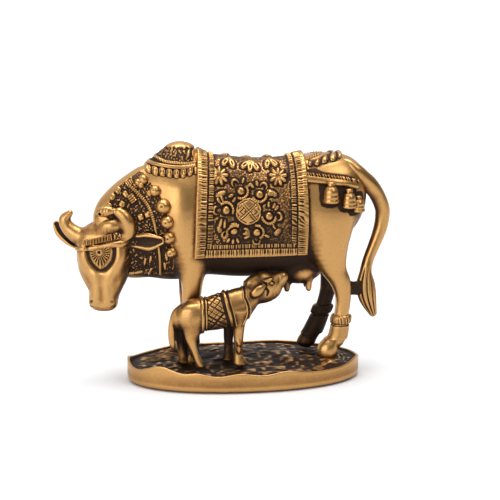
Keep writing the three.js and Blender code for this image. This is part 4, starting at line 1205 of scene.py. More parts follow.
def cloth_motifs():
    """The heights of everything that stands on the cloth's field."""
    kinds = (
        (rosette_relief, [ROSETTE_AT]),
        (flower_relief, FLOWERS),
        (daisy_relief, DAISIES),
        (fan_relief, FANS),
        (frond_relief, FRONDS),
    )
    heights = np.full(cloth_x.shape, HIDDEN)
    for motif, places in kinds:
        for x, z, *form in places:
            heights = np.maximum(heights, motif(cloth_x - x, to_hem - on_drape(z), *form))
    return heights


def round_motifs(heights):
    """1 on the motifs and in a narrow ring round them, where the field is smooth and dark."""
    halo = step(heights - HIDDEN - 0.02, 0.04)
    for axis in (0, 1):
        halo = np.maximum.reduce([np.roll(halo, shift, axis) for shift in (-3, -1, 0, 1, 3)])
    return halo


def border_level():
    """The border: hatched, more deeply on its inner part, lower at its outer edge, and parted by a
    groove where the strip of the hem meets those of the sides."""
    depth = 0.2 + 0.4 * step(inward - 2.2, 1.2)
    level = BORDER_RAISE - depth * grooves(uneven(lengthways), BORDER_PITCH, 0.9)
    level = level - 0.5 * np.clip(1 - inward / 0.6, 0, 1) ** 2
    return level - 0.6 * peak(side_edge - BORDER, 0.25) * (HEM_NARROWER * to_hem < BORDER)


stipple = np.clip(1.3 * grain(cloth_x + 40 * (side > 0), to_hem, 0.42), 0, 1)
golden = np.clip(0.5 + 1.2 * grain(cloth_x + 9, to_hem, 6.0) - 0.25 * step(cloth_z - 84, 6), 0, 1)
motifs = cloth_motifs()
halo = round_motifs(motifs)
field = (-0.12 + (0.1 + 0.2 * golden) * stipple) * (1 - halo) - 0.2 * halo
border_mask = step(BORDER - inward, 0.35)
braid_mask = within(inward, BORDER + BORDER_GROOVE, BORDER + BORDER_GROOVE + BRAID, 0.35)
braid = BRAID_RAISE - 0.75 * grooves(uneven(lengthways + 0.4), BRAID_PITCH, 0.9)
cloth_lift = np.maximum(field, motifs) * (1 - braid_mask) + braid * braid_mask
on_border = field * (1 - border_mask) + border_level() * border_mask
cloth_lift = np.where(inward < BORDER + 0.3, on_border, cloth_lift)
cloth_stain = CLOTH_STAIN * (1 - step(cloth_lift - 0.22, 0.4)) * (1 - 0.5 * golden * (1 - halo))
cloth_core = COW_AT + CLOTH_CORE
relief("saddle_cloth", cloth_points, cloth_out, cloth_lift, CLOTH_SUNK, cloth_stain, cloth_core)


# On each side a garland lies on the neck: a dark ground with a cord, blocks and leaves, and down its
# back edge a row of big bells.

GARLAND_FRONT = [(-57, 41), (-58.5, 55), (-61.5, 67), (-61.3, 73.5), (-58, 79), (-52.5, 83.2), (-46, 87.3)]
GARLAND_BACK = [(-31.5, 41), (-32, 52), (-33, 62), (-34.6, 71), (-38, 78.5), (-42.5, 84), (-45, 87.3)]
GARLAND_GRID = {-1: (230, 130), 1: (170, 96)}
GARLAND_STAIN = 0.75
CORD = [
    (-52.4, 82.6),
    (-46.6, 77.1),
    (-43.2, 72.7),
    (-41.3, 67.6),
    (-40.1, 62.4),
    (-39.2, 56.3),
    (-38.5, 50.7),
    (-37.8, 41.4),
]
CORD_HALF = 0.85
BLOCKS = [
    (-50.1, 75.8, 125, 2.2, 2.0, 1.9),
    (-52.9, 77.6, 125, 1.5, 1.3, 1.2),
    (-54.6, 73.4, 60, 1.5, 1.5, 1.3),
    (-50.9, 82.2, 35, 2.0, 1.3, 1.5),
    (-56, 79.1, 50, 1.6, 1.2, 1.5),
    (-58.6, 76.4, 50, 1.6, 1.2, 1.5),
    (-60.2, 72.6, 60, 1.5, 1.2, 1.4),
    (-46.5, 67.9, 20, 1.5, 1.7, 1.9),
    (-43.6, 68.9, 20, 1.3, 1.5, 1.5),
]  # x, z, turn, half length, half width and height
GARLAND_LEAVES = [
    (-45, 47.2, 80),
    (-42.5, 48.2, 80),
    (-48, 42.2, 10),
    (-51.5, 41.9, 0),
    (-42.7, 42, 70),
    (-36, 45, 100),
    (-35.4, 49.5, 100),
]  # x, z and turn
COLLAR_BELLS = [
    (-44.9, 83.8, 2.3),
    (-47.2, 82.6, 1.7),
    (-46.0, 81.4, 1.5),
    (-40.1, 79.3, 2.7),
    (-42.4, 78.2, 1.6),
    (-36.7, 72.8, 3.5),
    (-35.1, 65.9, 3.1),
    (-34.4, 58.9, 3.0),
    (-33.4, 52.2, 2.6),
]
BELL_PROFILE = [
    (0.06, 0.74),
    (0.12, 0.76),
    (0.17, 0.86),
    (0.3, 0.86),
    (0.5, 0.78),
    (0.7, 0.62),
    (0.87, 0.38),
    (0.97, 0.12),
    (1, -0.1),
    (1, -0.6),
]  # reach and height
STUD_SIDES = 26
FLANK_FROM = 19.2


def on_flank(x, z, side):
    """Where level lines from one side meet the cow's skin, and the way out there. -1 is her left."""
    return cow.land(on_cow(grid_of(x, side * FLANK_FROM, z)), (0, -side, 0))


def off_course(x, z, course):
    """For each place its distance from a smooth course and how far along the course that is."""
    line = smooth_course(course, 6)
    best, along, before = np.full(x.shape, 1e9), np.zeros(x.shape), 0.0
    for start, stop in zip(line[:-1], line[1:]):
        way = stop - start
        length = np.hypot(*way)
        share = np.clip(((x - start[0]) * way[0] + (z - start[1]) * way[1]) / length**2, 0, 1)
        away = np.hypot(x - start[0] - share * way[0], z - start[1] - share * way[1])
        nearer = away < best
        best = np.where(nearer, away, best)
        along = np.where(nearer, before + share * length, along)
        before += length
    return best, along


def studs(name, places, ways, sizes, profile):
    """Copies of one turned shape. Its profile gives reach and height in shares of each copy's size, and
    it stands along the copy's way."""
    shape = np.array(profile, float)
    turn = turns(STUD_SIDES)[None, :, None]
    one = unit(np.cross(ways, [0.31, 0.17, 0.93]))
    two = np.cross(ways, one)
    flat = one[:, None] * np.cos(turn) + two[:, None] * np.sin(turn)
    rings = shape[None, :, None, :1] * flat[:, None] + shape[None, :, None, 1:] * ways[:, None, None]
    ends = shape[None, [0, -1], 1:] * ways[:, None]
    local = np.concatenate([rings.reshape(len(places), -1, 3), ends], 1)
    points = places[:, None] + sizes[:, None, None] * local
    shift = np.arange(len(places))[:, None, None] * local.shape[1]
    faces = [(part[None] + shift).reshape(-1, part.shape[1]) for part in tube(len(shape), STUD_SIDES)]
    cast(name, points.reshape(-1, 3), *faces)


def garland_pattern(x, z, side):
    """The garland's heights: a grainy ground, the cord, the blocks and the leaves."""
    away, along = off_course(x, z, CORD)
    cord = swelling(1 - (away / (CORD_HALF + 0.35 * step(z - 66, 6))) ** 2, 1.2)
    cord = cord - 0.45 * grooves(along, 0.95, 0.8) * step(z - 64, 6)
    shapes = [0.15 + 0.5 * np.clip(grain(x, z + 50 * side, 0.6), 0, 1), cord]
    for at_x, at_z, turn, half_long, half_wide, height in BLOCKS:
        ahead, off = turned(x - at_x, z - at_z, turn)
        reach = 1 - np.abs(ahead / half_long) ** 5 - np.abs(off / half_wide) ** 3
        scores = 0.5 * grooves(ahead, 1.0, 1.1) * (reach > 0) * (half_long > 1.9)
        shapes.append(swelling(reach, height) - scores)
    for at_x, at_z, turn in GARLAND_LEAVES:
        shapes.append(swelling(drop(x - at_x, z - at_z, turn, -1.6, 3.2, 2.0), 0.95))
    return np.maximum.reduce(shapes)


def garland(name, side):
    """A grid between the garland's front and back edges, laid on the neck and raised by its pattern."""
    rows, columns = GARLAND_GRID[side]
    front, back = smooth_course(GARLAND_FRONT, 8), smooth_course(GARLAND_BACK, 8)
    down, place = np.linspace(0, 1, rows), np.linspace(0, 1, len(front))
    edges = [[np.interp(down, place, values) for values in line.T] for line in (front, back)]
    front, back = (np.stack(edge, -1)[:, None] for edge in edges)
    over = np.linspace(0, 1, columns)[None, :, None]
    x, z = np.moveaxis(front + (back - front) * over, -1, 0)
    skin, out = on_flank(x, z, side)
    to_bells = np.linalg.norm(back - front, axis=-1) * (1 - over[..., 0])
    lift = garland_pattern(x, z, side)
    lift = lift - (lift - HIDDEN) * np.clip(1 - to_bells / 0.9, 0, 1) ** 2
    relief(name, skin, out, lift, stained=GARLAND_STAIN * (1 - step(lift - 0.55, 0.3)))


for name, side in (("near", -1), ("far", 1)):
    garland(name + "_garland", side)
    bell_x, bell_z, bell_size = np.array(COLLAR_BELLS).T
    at, out = on_flank(bell_x, bell_z, side)
    studs(name + "_collar_bells", at + out * 0.35, out, bell_size, BELL_PROFILE)


# The hump wears a cap: a fringe of petals, a smooth band, a hatched band and a dark field, with the
# polished top of the hump standing out of it.

CAP_FROM = -44.5
CAP_TO = -21.5
CAP_CENTRE = 79.0
CAP_TURN = 14
CAP_GRID = (290, 108)
BACK_REACH = 21
CAP_PETALS = [
    (-44.5, 88.9),
    (-39.8, 87.2),
    (-36.4, 86.9),
    (-32.9, 86.4),
    (-28.8, 86.3),
    (-25.1, 87.1),
    (-21, 88),
]
CAP_SMOOTH = [
    (-44.5, 91.2),
    (-41.7, 90.5),
    (-37.4, 90),
    (-33.2, 89.4),
    (-28.9, 89.1),
    (-24, 89.3),
    (-21, 89.8),
]
CAP_HATCHED = [
    (-42, 93.8),
    (-38.1, 92.7),
    (-35.1, 91.5),
    (-30.9, 91),
    (-26.5, 90.6),
    (-23.9, 90.6),
    (-21, 91),
]
CAP_TOP = 96.9
CAP_LEAF = (-24.9, 94.4, 75)
PETAL_PITCH = 3.05


def over_back(x, turn, centre):
    """Where lines to a level axis along the back meet the cow's skin, by their turn from her left."""
    way = grid_of(0.0, -np.cos(turn), np.sin(turn))
    return cow.land(on_cow(grid_of(x, 0 * turn, centre)) + BACK_REACH * way, -way)


def height_on(course, x):
    """The height of a smooth course at x."""
    line = smooth_course(course, 6)
    return np.interp(x, line[:, 0], line[:, 1])


def petals(x, below, pitch, length):
    """A row of round-ended petals that hang from a line."""
    place = (x / pitch + 0.5) % 1 - 0.5
    return 1 - (2.15 * place) ** 2 - (below / length) ** 4


cap_x, cap_turn = spread((CAP_FROM, CAP_TO), np.radians((CAP_TURN, 180 - CAP_TURN)), CAP_GRID)
cap_skin, cap_out = over_back(cap_x, cap_turn, CAP_CENTRE)
cap_x = cap_skin[..., 0]
cap_z = cap_skin[..., 2] - COW_AT[2]
below_petals = cap_z - height_on(CAP_PETALS, cap_x)
petal_reach = petals(cap_x, below_petals - 0.2, PETAL_PITCH, 2.0)
cap_ground = 0.2 + 0.25 * np.clip(grain(cap_x, cap_turn * 14, 0.6), -0.3, 1)
leaf_reach = drop(cap_x - CAP_LEAF[0], cap_z - CAP_LEAF[1], CAP_LEAF[2], -1.5, 2.6, 1.9)
petal_line = 0.5 * peak(petal_reach - 0.75, 0.2) * (below_petals > -0.2)
cap_level = [
    inside(step(below_petals + 1.6, 0.5), cap_ground),
    swelling(petal_reach, 1.3) - petal_line,
    swelling(1 - ((cap_z - height_on(CAP_SMOOTH, cap_x)) / 0.85) ** 4, 1.05),
    np.where(np.cos(cap_turn) > 0, swelling(leaf_reach, 0.9), HIDDEN),
]
hatched_off = cap_z - height_on(CAP_HATCHED, cap_x)
hatched = swelling(1 - (hatched_off / 0.8) ** 4, 0.95) - 0.35 * grooves(cap_x + 0.4 * hatched_off, 1.05, 0.8)
cap_level.append(np.maximum(hatched, HIDDEN))
cap_lift = np.maximum.reduce(cap_level)
cap_ragged = 0.5 * grain(cap_x, cap_turn * 16, 1.1)
cap_top = step(cap_z - CAP_TOP + 0.06 * (cap_x + 30) + cap_ragged, 0.7)
cap_lift = cap_lift * (1 - cap_top) + 0.75 * cap_top
cap_edge = np.minimum(cap_x - CAP_FROM, CAP_TO - cap_x)
cap_lift = cap_lift - 0.6 * np.clip(1 - cap_edge / 0.8, 0, 1) ** 2
cap_stain = GARLAND_STAIN * (1 - step(cap_lift - 0.5, 0.3)) * step(below_petals + 2.9, 0.6)
relief("hump_cap", cap_skin, cap_out, cap_lift, stained=cap_stain)


# A crupper goes from the cloth round the rump under the tail, ribbed along its upper edge, and bells
# hang from it. A fringe of petals and a ribbed cord lie above it over the rump.

CRUPPER = [(26.3, 84.1), (30.8, 83.6), (36.1, 82.9), (41, 82.2), (46.2, 81.2), (50.6, 79.8)]
CRUPPER_HALF = 2.05
CRUPPER_RAISE = 1.75
CRUPPER_PITCH = 0.22
CRUPPER_ROWS = 30
BELL_MIDDLE = 4
RUMP_BELLS = [(37.6, 82, 3.75), (45.4, 78.7, 3.4), (49.8, 75.2, 2.9)]
RUMP_BELL_PROFILE = [
    (0.2, 0),
    (0.42, -0.05),
    (0.5, -0.25),
    (0.4, -0.5),
    (0.64, -0.68),
    (0.82, -1.0),
    (0.88, -1.45),
    (0.84, -1.55),
    (0.92, -1.66),
    (0.95, -1.95),
    (0.89, -2.02),
    (1, -2.1),
    (1, -2.4),
    (0.94, -2.5),
    (0.8, -2.4),
    (0.6, -2.0),
]  # reach and height, from the loop down to the mouth
RUMP_FROM = 27.8
RUMP_TO = 44.5
RUMP_CENTRE = 74.0
RUMP_TURN = 40
RUMP_GRID = (200, 84)
RUMP_LINE = [(27.8, 88.9), (29.2, 89.2), (32.9, 89.7), (36, 90.7), (40, 91.5), (44.5, 92.3)]
RUMP_PETALS = [(29.4, 1.2), (32.7, 1.55), (36.3, 1.8), (40.4, 2.0), (43.8, 1.4)]
RUMP_CORD_END = 37.6
RUMP_CORD = [(27.8, 90.8), (28.6, 91.1), (32, 92.2), (35.3, 93.3), (37.6, 94.5), (44.5, 97.5)]


def crupper(name, side):
    """The band laid along its course on the cow's flank, with ribs along its upper edge."""
    line = smooth_course(CRUPPER, 12)
    length = lengths(line)
    along = np.linspace(0, length[-1], int(length[-1] / CRUPPER_PITCH))
    middle = np.stack([np.interp(along, length, line[:, i]) for i in (0, 1)], -1)
    way = unit(np.gradient(middle, axis=0))
    off = np.linspace(-CRUPPER_HALF, CRUPPER_HALF, CRUPPER_ROWS)[None, :]
    skin, out = on_flank(middle[:, :1] - way[:, 1:] * off, middle[:, 1:] + way[:, :1] * off, side)
    ribs = 1.5 * grooves(uneven(along[:, None] + 0.5 * off), 1.35, 0.7) * step(off - 0.35, 0.3)
    ledge = 0.3 * peak(off - 0.6, 0.25)
    lift = CRUPPER_RAISE * (1 - 0.55 * np.abs(off / CRUPPER_HALF) ** 4) - (ribs + ledge)
    relief(name, skin, out, lift)


for name, side in (("near", -1), ("far", 1)):
    crupper(name + "_crupper", side)
    bells = RUMP_BELLS if side < 0 else RUMP_BELLS[:1]
    bell_x, bell_z, bell_size = np.array(bells).T
    at, out = on_flank(bell_x, bell_z - BELL_MIDDLE, side)
    at[:, 2] += BELL_MIDDLE
    upright = np.tile(-DOWN, (len(bells), 1))
    studs(name + "_rump_bells", at + out * 1.5, upright, bell_size, RUMP_BELL_PROFILE)

rump_x, rump_turn = spread((RUMP_FROM, RUMP_TO), np.radians((RUMP_TURN, 180 - RUMP_TURN)), RUMP_GRID)
rump_skin, rump_out = over_back(rump_x, rump_turn, RUMP_CENTRE)
rump_z = rump_skin[..., 2] - COW_AT[2]
rump_x = rump_skin[..., 0]
cord_off = rump_z - height_on(RUMP_CORD, rump_x)
rump_cord = swelling(1 - (cord_off / 0.42) ** 4 - (rump_x > RUMP_CORD_END), 0.85)
rump_cord = rump_cord - 0.5 * grooves(rump_x, 1.15, 0.7)
above_line = rump_z - height_on(RUMP_LINE, rump_x)
rump_level = [np.maximum(rump_cord, HIDDEN), inside(step(above_line + 1.9, 0.5), 0.1)]
for at, half in RUMP_PETALS:
    ahead, off = turned(rump_x - at, 1.35 * above_line, 55)
    petal_half = 0.85 * half * (1 - 0.2 * ahead / half)
    rump_level.append(swelling(1 - (ahead / (1.1 * half)) ** 2 - (off / petal_half) ** 2, 1.5))
rump_lift = np.maximum.reduce(rump_level)
rump_stain = GARLAND_STAIN * within(above_line, -2.6, 1.6, 0.6) * (1 - step(rump_lift - 0.6, 0.3))
relief("rump_fringe", rump_skin, rump_out, rump_lift, stained=rump_stain)


# Round each leg goes an anklet, a thick ribbed ring, and below it a plain cuff that ends above the
# hoof.

ANKLET_TOP = 20.0
ANKLET_END = 15.4
CUFF_END = 8.4
FAR_HIND_CUFF_END = 6.0
ANKLET_PROUD = 1.45
CUFF_PROUD = 0.75
BAND_ROWS = 70
BAND_SIDES = 92
LEG_REACH = 8.0


def ankle_bands(name, leg, end=CUFF_END):
    """The anklet and cuff of one leg. From the leg's middle, lines in every direction find its skin,
    which is raised by the bands and sunk in the metal at both ends."""
    course = smooth_course(leg, 8)
    z = np.concatenate([[ANKLET_TOP + 0.2], np.linspace(ANKLET_TOP, end, BAND_ROWS), [end - 0.2]])[:, None]
    turn = turns(BAND_SIDES)[None, :]
    way = grid_of(np.cos(turn), np.sin(turn), 0.0)
    x, y = (np.interp(-z, -course[:, 2], course[:, i]) for i in (0, 1))
    skin, _ = cow.land(on_cow(grid_of(x, y, z)) + LEG_REACH * way, -way)
    across_ring = (2 * z - ANKLET_TOP - ANKLET_END) / (ANKLET_TOP - ANKLET_END)
    ring = -0.5 + (ANKLET_PROUD + 0.5) * np.sqrt(np.clip(1 - across_ring**4, 0, 1))
    ribs = 0.38 * grooves(uneven(4 * turn + 0.2 * z), 0.95, 0.9) * (np.abs(across_ring) < 1)
    cuff = -0.5 + (CUFF_PROUD + 0.5) * within(z, end, ANKLET_END - 0.4, 0.4)
    height = np.maximum(ring - ribs, cuff)
    height[[0, -1]] = -0.8
    rings = skin + way * height[..., None]
    cast(name, np.concatenate([rings.reshape(-1, 3), rings[[0, -1]].mean(1)]), *tube(len(z), BAND_SIDES))


ankle_bands("near_foreleg_bands", FORELEG)
ankle_bands("far_foreleg_bands", mirrored(FORELEG))
ankle_bands("near_hindleg_bands", NEAR_HINDLEG)
ankle_bands("far_hindleg_bands", FAR_HINDLEG, FAR_HIND_CUFF_END)


# The tail is a thick rope of brass that leaves the rump, swings out behind and ends at the hock in a
# tuft of combed hair. A web of metal left by the mould joins the tuft to the leg.

TAIL = [
    (43.6, -3.8, 89.4, 1.5, 1.5),
    (46.8, -4.6, 88.8, 2.1, 2.1),
    (50.6, -5.6, 86, 2.8, 2.9),
    (54, -5, 82.4, 3.2, 3.4),
    (57.8, -3.6, 78.4, 3.5, 3.7),
    (61.5, -2, 73.2, 3.4, 3.5),
    (64, -1, 67.5, 3.3, 3.4),
    (64.3, -0.8, 63, 3.2, 3.3),
    (63.2, -1, 57, 3.1, 3.1),
    (60.4, -2, 50, 2.7, 2.7),
    (57.8, -3, 44, 2.5, 2.5),
    (56.4, -4, 38.5, 2.7, 2.8),
    (56.3, -4.4, 32.5, 3, 4.3),
    (57.3, -5, 26, 2.8, 4.1),
    (59.8, -5.5, 18.6, 1.5, 1.9),
]
TAIL_WEB = [(46.5, -8.8, 31.8, 1.6, 3.6), (50.5, -7, 31.2, 1.3, 3.2), (54.5, -5.4, 31, 1.6, 4)]
TAIL_SIDES = 72
TAIL_SPANS = 14
WEB_SIDES = 28
WEB_STAIN = 1.6
TUFT_FROM = 41.0
TUFT_STRANDS = 10
TUFT_GROOVE = 0.6


def rope(stations, sides, relief_of_turn):
    """Rings of an oval carried along the smooth course of its stations, raised by
    relief_of_turn(turn, course), and a round end on each."""
    course = smooth_course(stations, TAIL_SPANS)
    centre, size = course[:, :3], course[:, 3:5]
    along = unit(np.gradient(centre, axis=0))
    side = unit(SIDEWAYS - (along @ SIDEWAYS)[:, None] * along)
    up = np.cross(along, side)
    turn = turns(sides)
    lift = relief_of_turn(turn[None, :], course[:, None, :])
    wide, deep = (size[:, i, None] + lift for i in range(2))
    skin = centre[:, None] + side[:, None] * (wide * np.cos(turn))[..., None]
    skin = skin + up[:, None] * (deep * np.sin(turn))[..., None]
    reach = along * size.min(1)[:, None]
    rounds = np.radians([25, 50, 72])
    start = [centre[0] + (skin[0] - centre[0]) * np.cos(a) - reach[0] * np.sin(a) for a in rounds[::-1]]
    stop = [centre[-1] + (skin[-1] - centre[-1]) * np.cos(a) + reach[-1] * np.sin(a) for a in rounds]
    rings = np.concatenate([start, skin, stop])
    tips = [centre[0] - reach[0], centre[-1] + reach[-1]]
    return np.concatenate([rings.reshape(-1, 3), tips]), *tube(len(rings), sides)


def combed(turn, course):
    """Grooves between strands of hair, deepening below the tail's end and turning slowly round it."""
    below = np.clip((TUFT_FROM + COW_AT[2] - course[..., 2]) / 4, 0, 1) * (course[..., 0] > 50)
    strands = np.abs(np.sin(TUFT_STRANDS / 2 * turn + 0.08 * course[..., 2]))
    return -TUFT_GROOVE * below * (1 - strands) ** 1.5


def plain(turn, course):
    """No relief at all."""
    return 0 * turn * course[..., 2]


cast("tail", *rope(on_cow(TAIL), TAIL_SIDES, combed))
cast("tail_web", *rope(on_cow(TAIL_WEB), WEB_SIDES, plain), stained=WEB_STAIN)


# The calf stretches its neck up to the udder. It is cast solid with her, its hooves run into the ground,
# and it wears a girth, a breast band and a double collar.

CALF_AT = np.array([-14.0, -13.5, GROUND_HEIGHT])
CALF_SHARE = 0.35
CALF_CELL = 0.35
CALF_TRUNK = [
    (-45, 0, 64, 12.5, 15.5),
    (-29, -2, 68.5, 16.5, 20.5),
    (-9, -2, 69, 17, 21.5),
    (11, 0, 73, 17.5, 23.5),
    (31, 3, 78, 16, 22.5),
    (41, 6, 82, 12, 17),
]
CALF_NECK = [(30, 4, 81, 13, 17), (46, 8, 88, 11, 14), (57, 12, 93, 10, 13)]
CALF_HEAD = [
    (46.5, 11, 104.5, 9, 9),
    (52.5, 12, 101.5, 12, 16.5),
    (60, 13, 98.5, 13, 21.5),
    (70.5, 14, 99.5, 12.5, 19),
    (78, 14.5, 104, 9.8, 13),
    (84.5, 14.5, 109, 8.2, 9.5),
    (88.5, 14, 112.5, 6.8, 6.8),
]
CALF_BROW = [(61, 0.5, 108, 1.6, 1.6), (67, 0.8, 110, 2, 2), (72.5, 2.8, 112, 1.6, 1.6)]
CALF_CREASES = [
    [(54, 1, 113, 0.9, 0.9), (59, 0, 110, 1.3, 1.5), (63.5, 0, 106.5, 0.9, 0.9)],
    [(65.5, 0.5, 99, 1.3, 1.5), (67.5, 0.8, 95, 1.7, 1.9), (66.5, 1.5, 90, 1.3, 1.3)],
    [(81, 5.6, 106, 0.7, 0.7), (82.5, 6, 110, 0.9, 1), (82, 7.5, 114, 0.7, 0.7)],
]
CALF_ANKLET = [[(28.3, -9.3, z, 2.7, 2.4), (28.6, -9.6, z - 4, 2.2, 2)] for z in (33, 23)]
CALF_EARS = [
    [
        (61.5, -1.5, 104, 2.8, 2.6),
        (57, -4.5, 100.5, 5.4, 3.4),
        (52, -6, 96.8, 6.2, 3.2),
        (47.5, -6.4, 93.6, 4.4, 2.2),
    ],
    [(66, 27, 105, 3.5, 3), (57, 30, 100, 6, 2.6), (47, 32, 94, 3.5, 2)],
]
CALF_LEGS = [
    [
        (29, -5, 74, 9, 14),
        (29, -5, 57, 7, 8.5),
        (28.5, -4.5, 36, 5.5, 6.3),
        (28.5, -4, 21, 5, 5.6),
        (28.5, -4, 11, 5.6, 6.2),
        (31, -4, 2, 7.4, 9.5),
    ],
    [
        (20, 12, 72, 8, 13),
        (19, 15, 50, 6.5, 8),
        (18, 17, 34, 5.5, 6.5),
        (18, 18, 18, 5.2, 5.8),
        (18, 18, 2, 6.8, 8),
    ],
    [
        (-30, -8, 78, 10, 16),
        (-30, -10, 66, 10.5, 18),
        (-30.5, -11.5, 52, 8.3, 12.5),
        (-32.5, -13, 37, 5.2, 6.6),
        (-28, -13, 21, 4.2, 4.4),
        (-21.5, -13, 3, 4.8, 5.6),
    ],
    [
        (-42, 8, 66, 9, 14),
        (-45, 10, 48, 7, 9),
        (-46, 11, 36, 5.8, 6.2),
        (-44, 11, 22, 4.8, 5),
        (-41, 11, 2, 5.8, 6.4),
    ],
]
HARNESS_AXIS = [(-24, -1, 69), (12, -1, 73), (31, 2, 79), (48, 7, 88)]
HARNESS_REACH = 11.5
GIRTH_AT = -16.2
BREAST_AT = 16.5
BREAST_LEAN = 0.24
COLLAR_AT = 43.0
CALF_EYE = (72.2, 2, 105.6)
CALF_TAIL = [
    (-44, -1, 80, 3, 3),
    (-52, -2, 72, 3.8, 3.8),
    (-56, -2, 58, 4.6, 4.6),
    (-57, -2, 44, 4.8, 4.8),
    (-56, -2, 31, 4.2, 4.2),
    (-54.5, -1, 24, 2.6, 2.6),
]
HARNESS_GRID = (206, 172)
HARNESS_X = (-23, 46)
HARNESS_TURN = (-62, 240)
EYE_GRID = (46, 60)
EYE_FROM = -9.0
EYE_HALF = (2.6, 2.0)


def on_calf(stations):
    """Stations of the calf in the part's frame. They are measured on a calf 100 high."""
    s = np.array(stations, float) * CALF_SHARE
    s[..., :3] += CALF_AT
    return s


calf = Wax((-38, -22, 7), (21, -1, 52), CALF_CELL)
calf.add(on_calf(CALF_TRUNK), facing=AHEAD, spans=8)
calf.add(on_calf(CALF_NECK), blend=2)
calf.add(on_calf(CALF_HEAD), blend=1.5, dome=0.7)
for limb in CALF_EARS:
    calf.add(on_calf(limb), blend=0.6, across=np.array([0, 0, 1.0]))
for limb in CALF_LEGS:
    calf.add(on_calf(limb), blend=1.8, facing=DOWN, dome=0.3)
calf.add(on_calf(CALF_TAIL), blend=1)
calf.add(on_calf(CALF_BROW), blend=1)
for bead in CALF_ANKLET:
    calf.add(on_calf(bead), blend=0.5)
calf.soften(1)
for crease in CALF_CREASES:
    calf.cut(on_calf(crease), blend=0.4)
calf_skin, calf_faces = calf.skin()
share_x, _, share_z = ((calf_skin - CALF_AT) / CALF_SHARE).T
# Painted shadow of the cow's belly on the top of the calf's head and neck, ragged at random.
belly_shadow_on_calf = 0.45 * within(share_x, 42, 66, 5) * step(share_z - 0.35 * share_x - 84, 5)
belly_shadow_on_calf = belly_shadow_on_calf * (1 + 0.7 * grain(share_x, share_z, 3.0))
cast("calf_body", calf_skin, calf_faces, stained=belly_shadow_on_calf)


def round_calf(x, turn):
    """Where lines to the trunk's axis meet the calf: x along it in shares, and a turn up from level on
    her near side."""
    axis_x, axis_y, axis_z = np.array(HARNESS_AXIS, float).T
    middle = grid_of(x + 0 * turn, np.interp(x, axis_x, axis_y), np.interp(x, axis_x, axis_z))
    way = grid_of(0.0, -np.cos(turn), np.sin(turn))
    return calf.land(on_calf(middle) + HARNESS_REACH * way, -way)


def rib(off, half, height):
    """A flat-topped cord seen across: off from its middle line, its half width and height."""
    return swelling(1 - np.abs(off / half) ** 3, height)


harness_x, harness_turn = spread(HARNESS_X, np.radians(HARNESS_TURN), HARNESS_GRID)
harness_skin, harness_out = round_calf(harness_x, harness_turn)
harness_z = (harness_skin[..., 2] - CALF_AT[2]) / CALF_SHARE
girth = (harness_x - GIRTH_AT) * CALF_SHARE + 0 * harness_z
breast = (harness_x - BREAST_AT + BREAST_LEAN * (harness_z - 69)) * CALF_SHARE
collar = (harness_x - COLLAR_AT + (np.minimum(harness_z, 91) - 74) ** 2 / 62) * CALF_SHARE
ahead, around = harness_x * CALF_SHARE, harness_turn * 6.8
one_way = grooves(uneven(0.62 * ahead + 0.8 * around), 2.0, 5)
other_way = grooves(uneven(0.75 * ahead - 0.66 * around + 3), 2.5, 5)
slashes = np.maximum(one_way, other_way)
panel = step(girth - 1.5, 0.3) * step(-2.1 - breast, 0.3)
bands = [
    rib(girth + 0.75, 0.8, 0.85),
    rib(girth - 0.85, 0.55, 0.75),
    rib(breast, 0.9, 1.0),
    rib(breast - 1.95, 0.4, 0.6),
    rib(collar, 0.42, 0.6),
    rib(collar + 1.5, 0.42, 0.6),
]
furrow = np.maximum.reduce([within(girth, -1.9, 1.9), within(breast, -2.3, 1.8), within(collar, -2.0, 0.7)])
lattice = inside(panel, 0.42 - 0.36 * slashes)
harness_lift = np.maximum.reduce([*bands, lattice, inside(furrow, 0.06)])
panel_stain = panel * (0.16 + 0.2 * slashes + 0.2 * step(66 - harness_z, 14))
harness_stain = furrow * step(0.3 - harness_lift, 0.3) * 0.8 + panel_stain
relief("calf_harness", harness_skin, harness_out, harness_lift, stained=harness_stain)

eye_x, eye_z = spread((-EYE_HALF[0], EYE_HALF[0]), (-EYE_HALF[1], EYE_HALF[1]), EYE_GRID)
eye_skin, eye_out = calf.land(on_calf(CALF_EYE) + grid_of(eye_x, EYE_FROM, eye_z), SIDEWAYS)
from_eye = np.hypot(eye_x / 1.5, (eye_z + 0.12 * eye_x) / 1.0)
eye_level = np.maximum(0.5 * (1 - (from_eye / 0.85) ** 2), 0.42 * peak(from_eye - 1.32, 0.22))
eye_lift = inside(step(1.6 - from_eye, 0.3), np.maximum(eye_level, 0.05))
relief("calf_eye", eye_skin, eye_out, eye_lift, stained=0.7 * within(from_eye, 0.75, 1.15, 0.2))


# The finish: the whole casting was dipped to darken it, then polished, so the brown stays wherever the wheel
# couldn't reach. Shade is painted into the colour as well: on what faces down, between the legs, under the
# belly and round the bells and the crupper.

SKY_DIRECTIONS = 90
SKY_PIXEL = 0.7
SKY_SLACK = 0.9
SKY_EDGE = 0.8
SKY_FLOOR = -0.05
RELIEF_ROUNDS = 10
RELIEF_SCALE = 0.16
COW_MIDDLE = (3.5, 56.0)
CALF_MIDDLE = (-12.5, 33.0)
INNER_SHADE = 0.8
LOW_STAIN = 0.3
BODY_SHADE = 0.7
BELLY_ENDS = (-16.5, 27.5)
BELLY_TOP = 49.8
FOREFEET_BACK = -17
HINDFOOT_FRONT = 21


def read(mesh, name, width):
    """One measure of every point, width numbers each."""
    values = np.empty(len(mesh) * width, np.float32)
    mesh.foreach_get(name, values)
    return values.reshape(-1, width).astype(float)


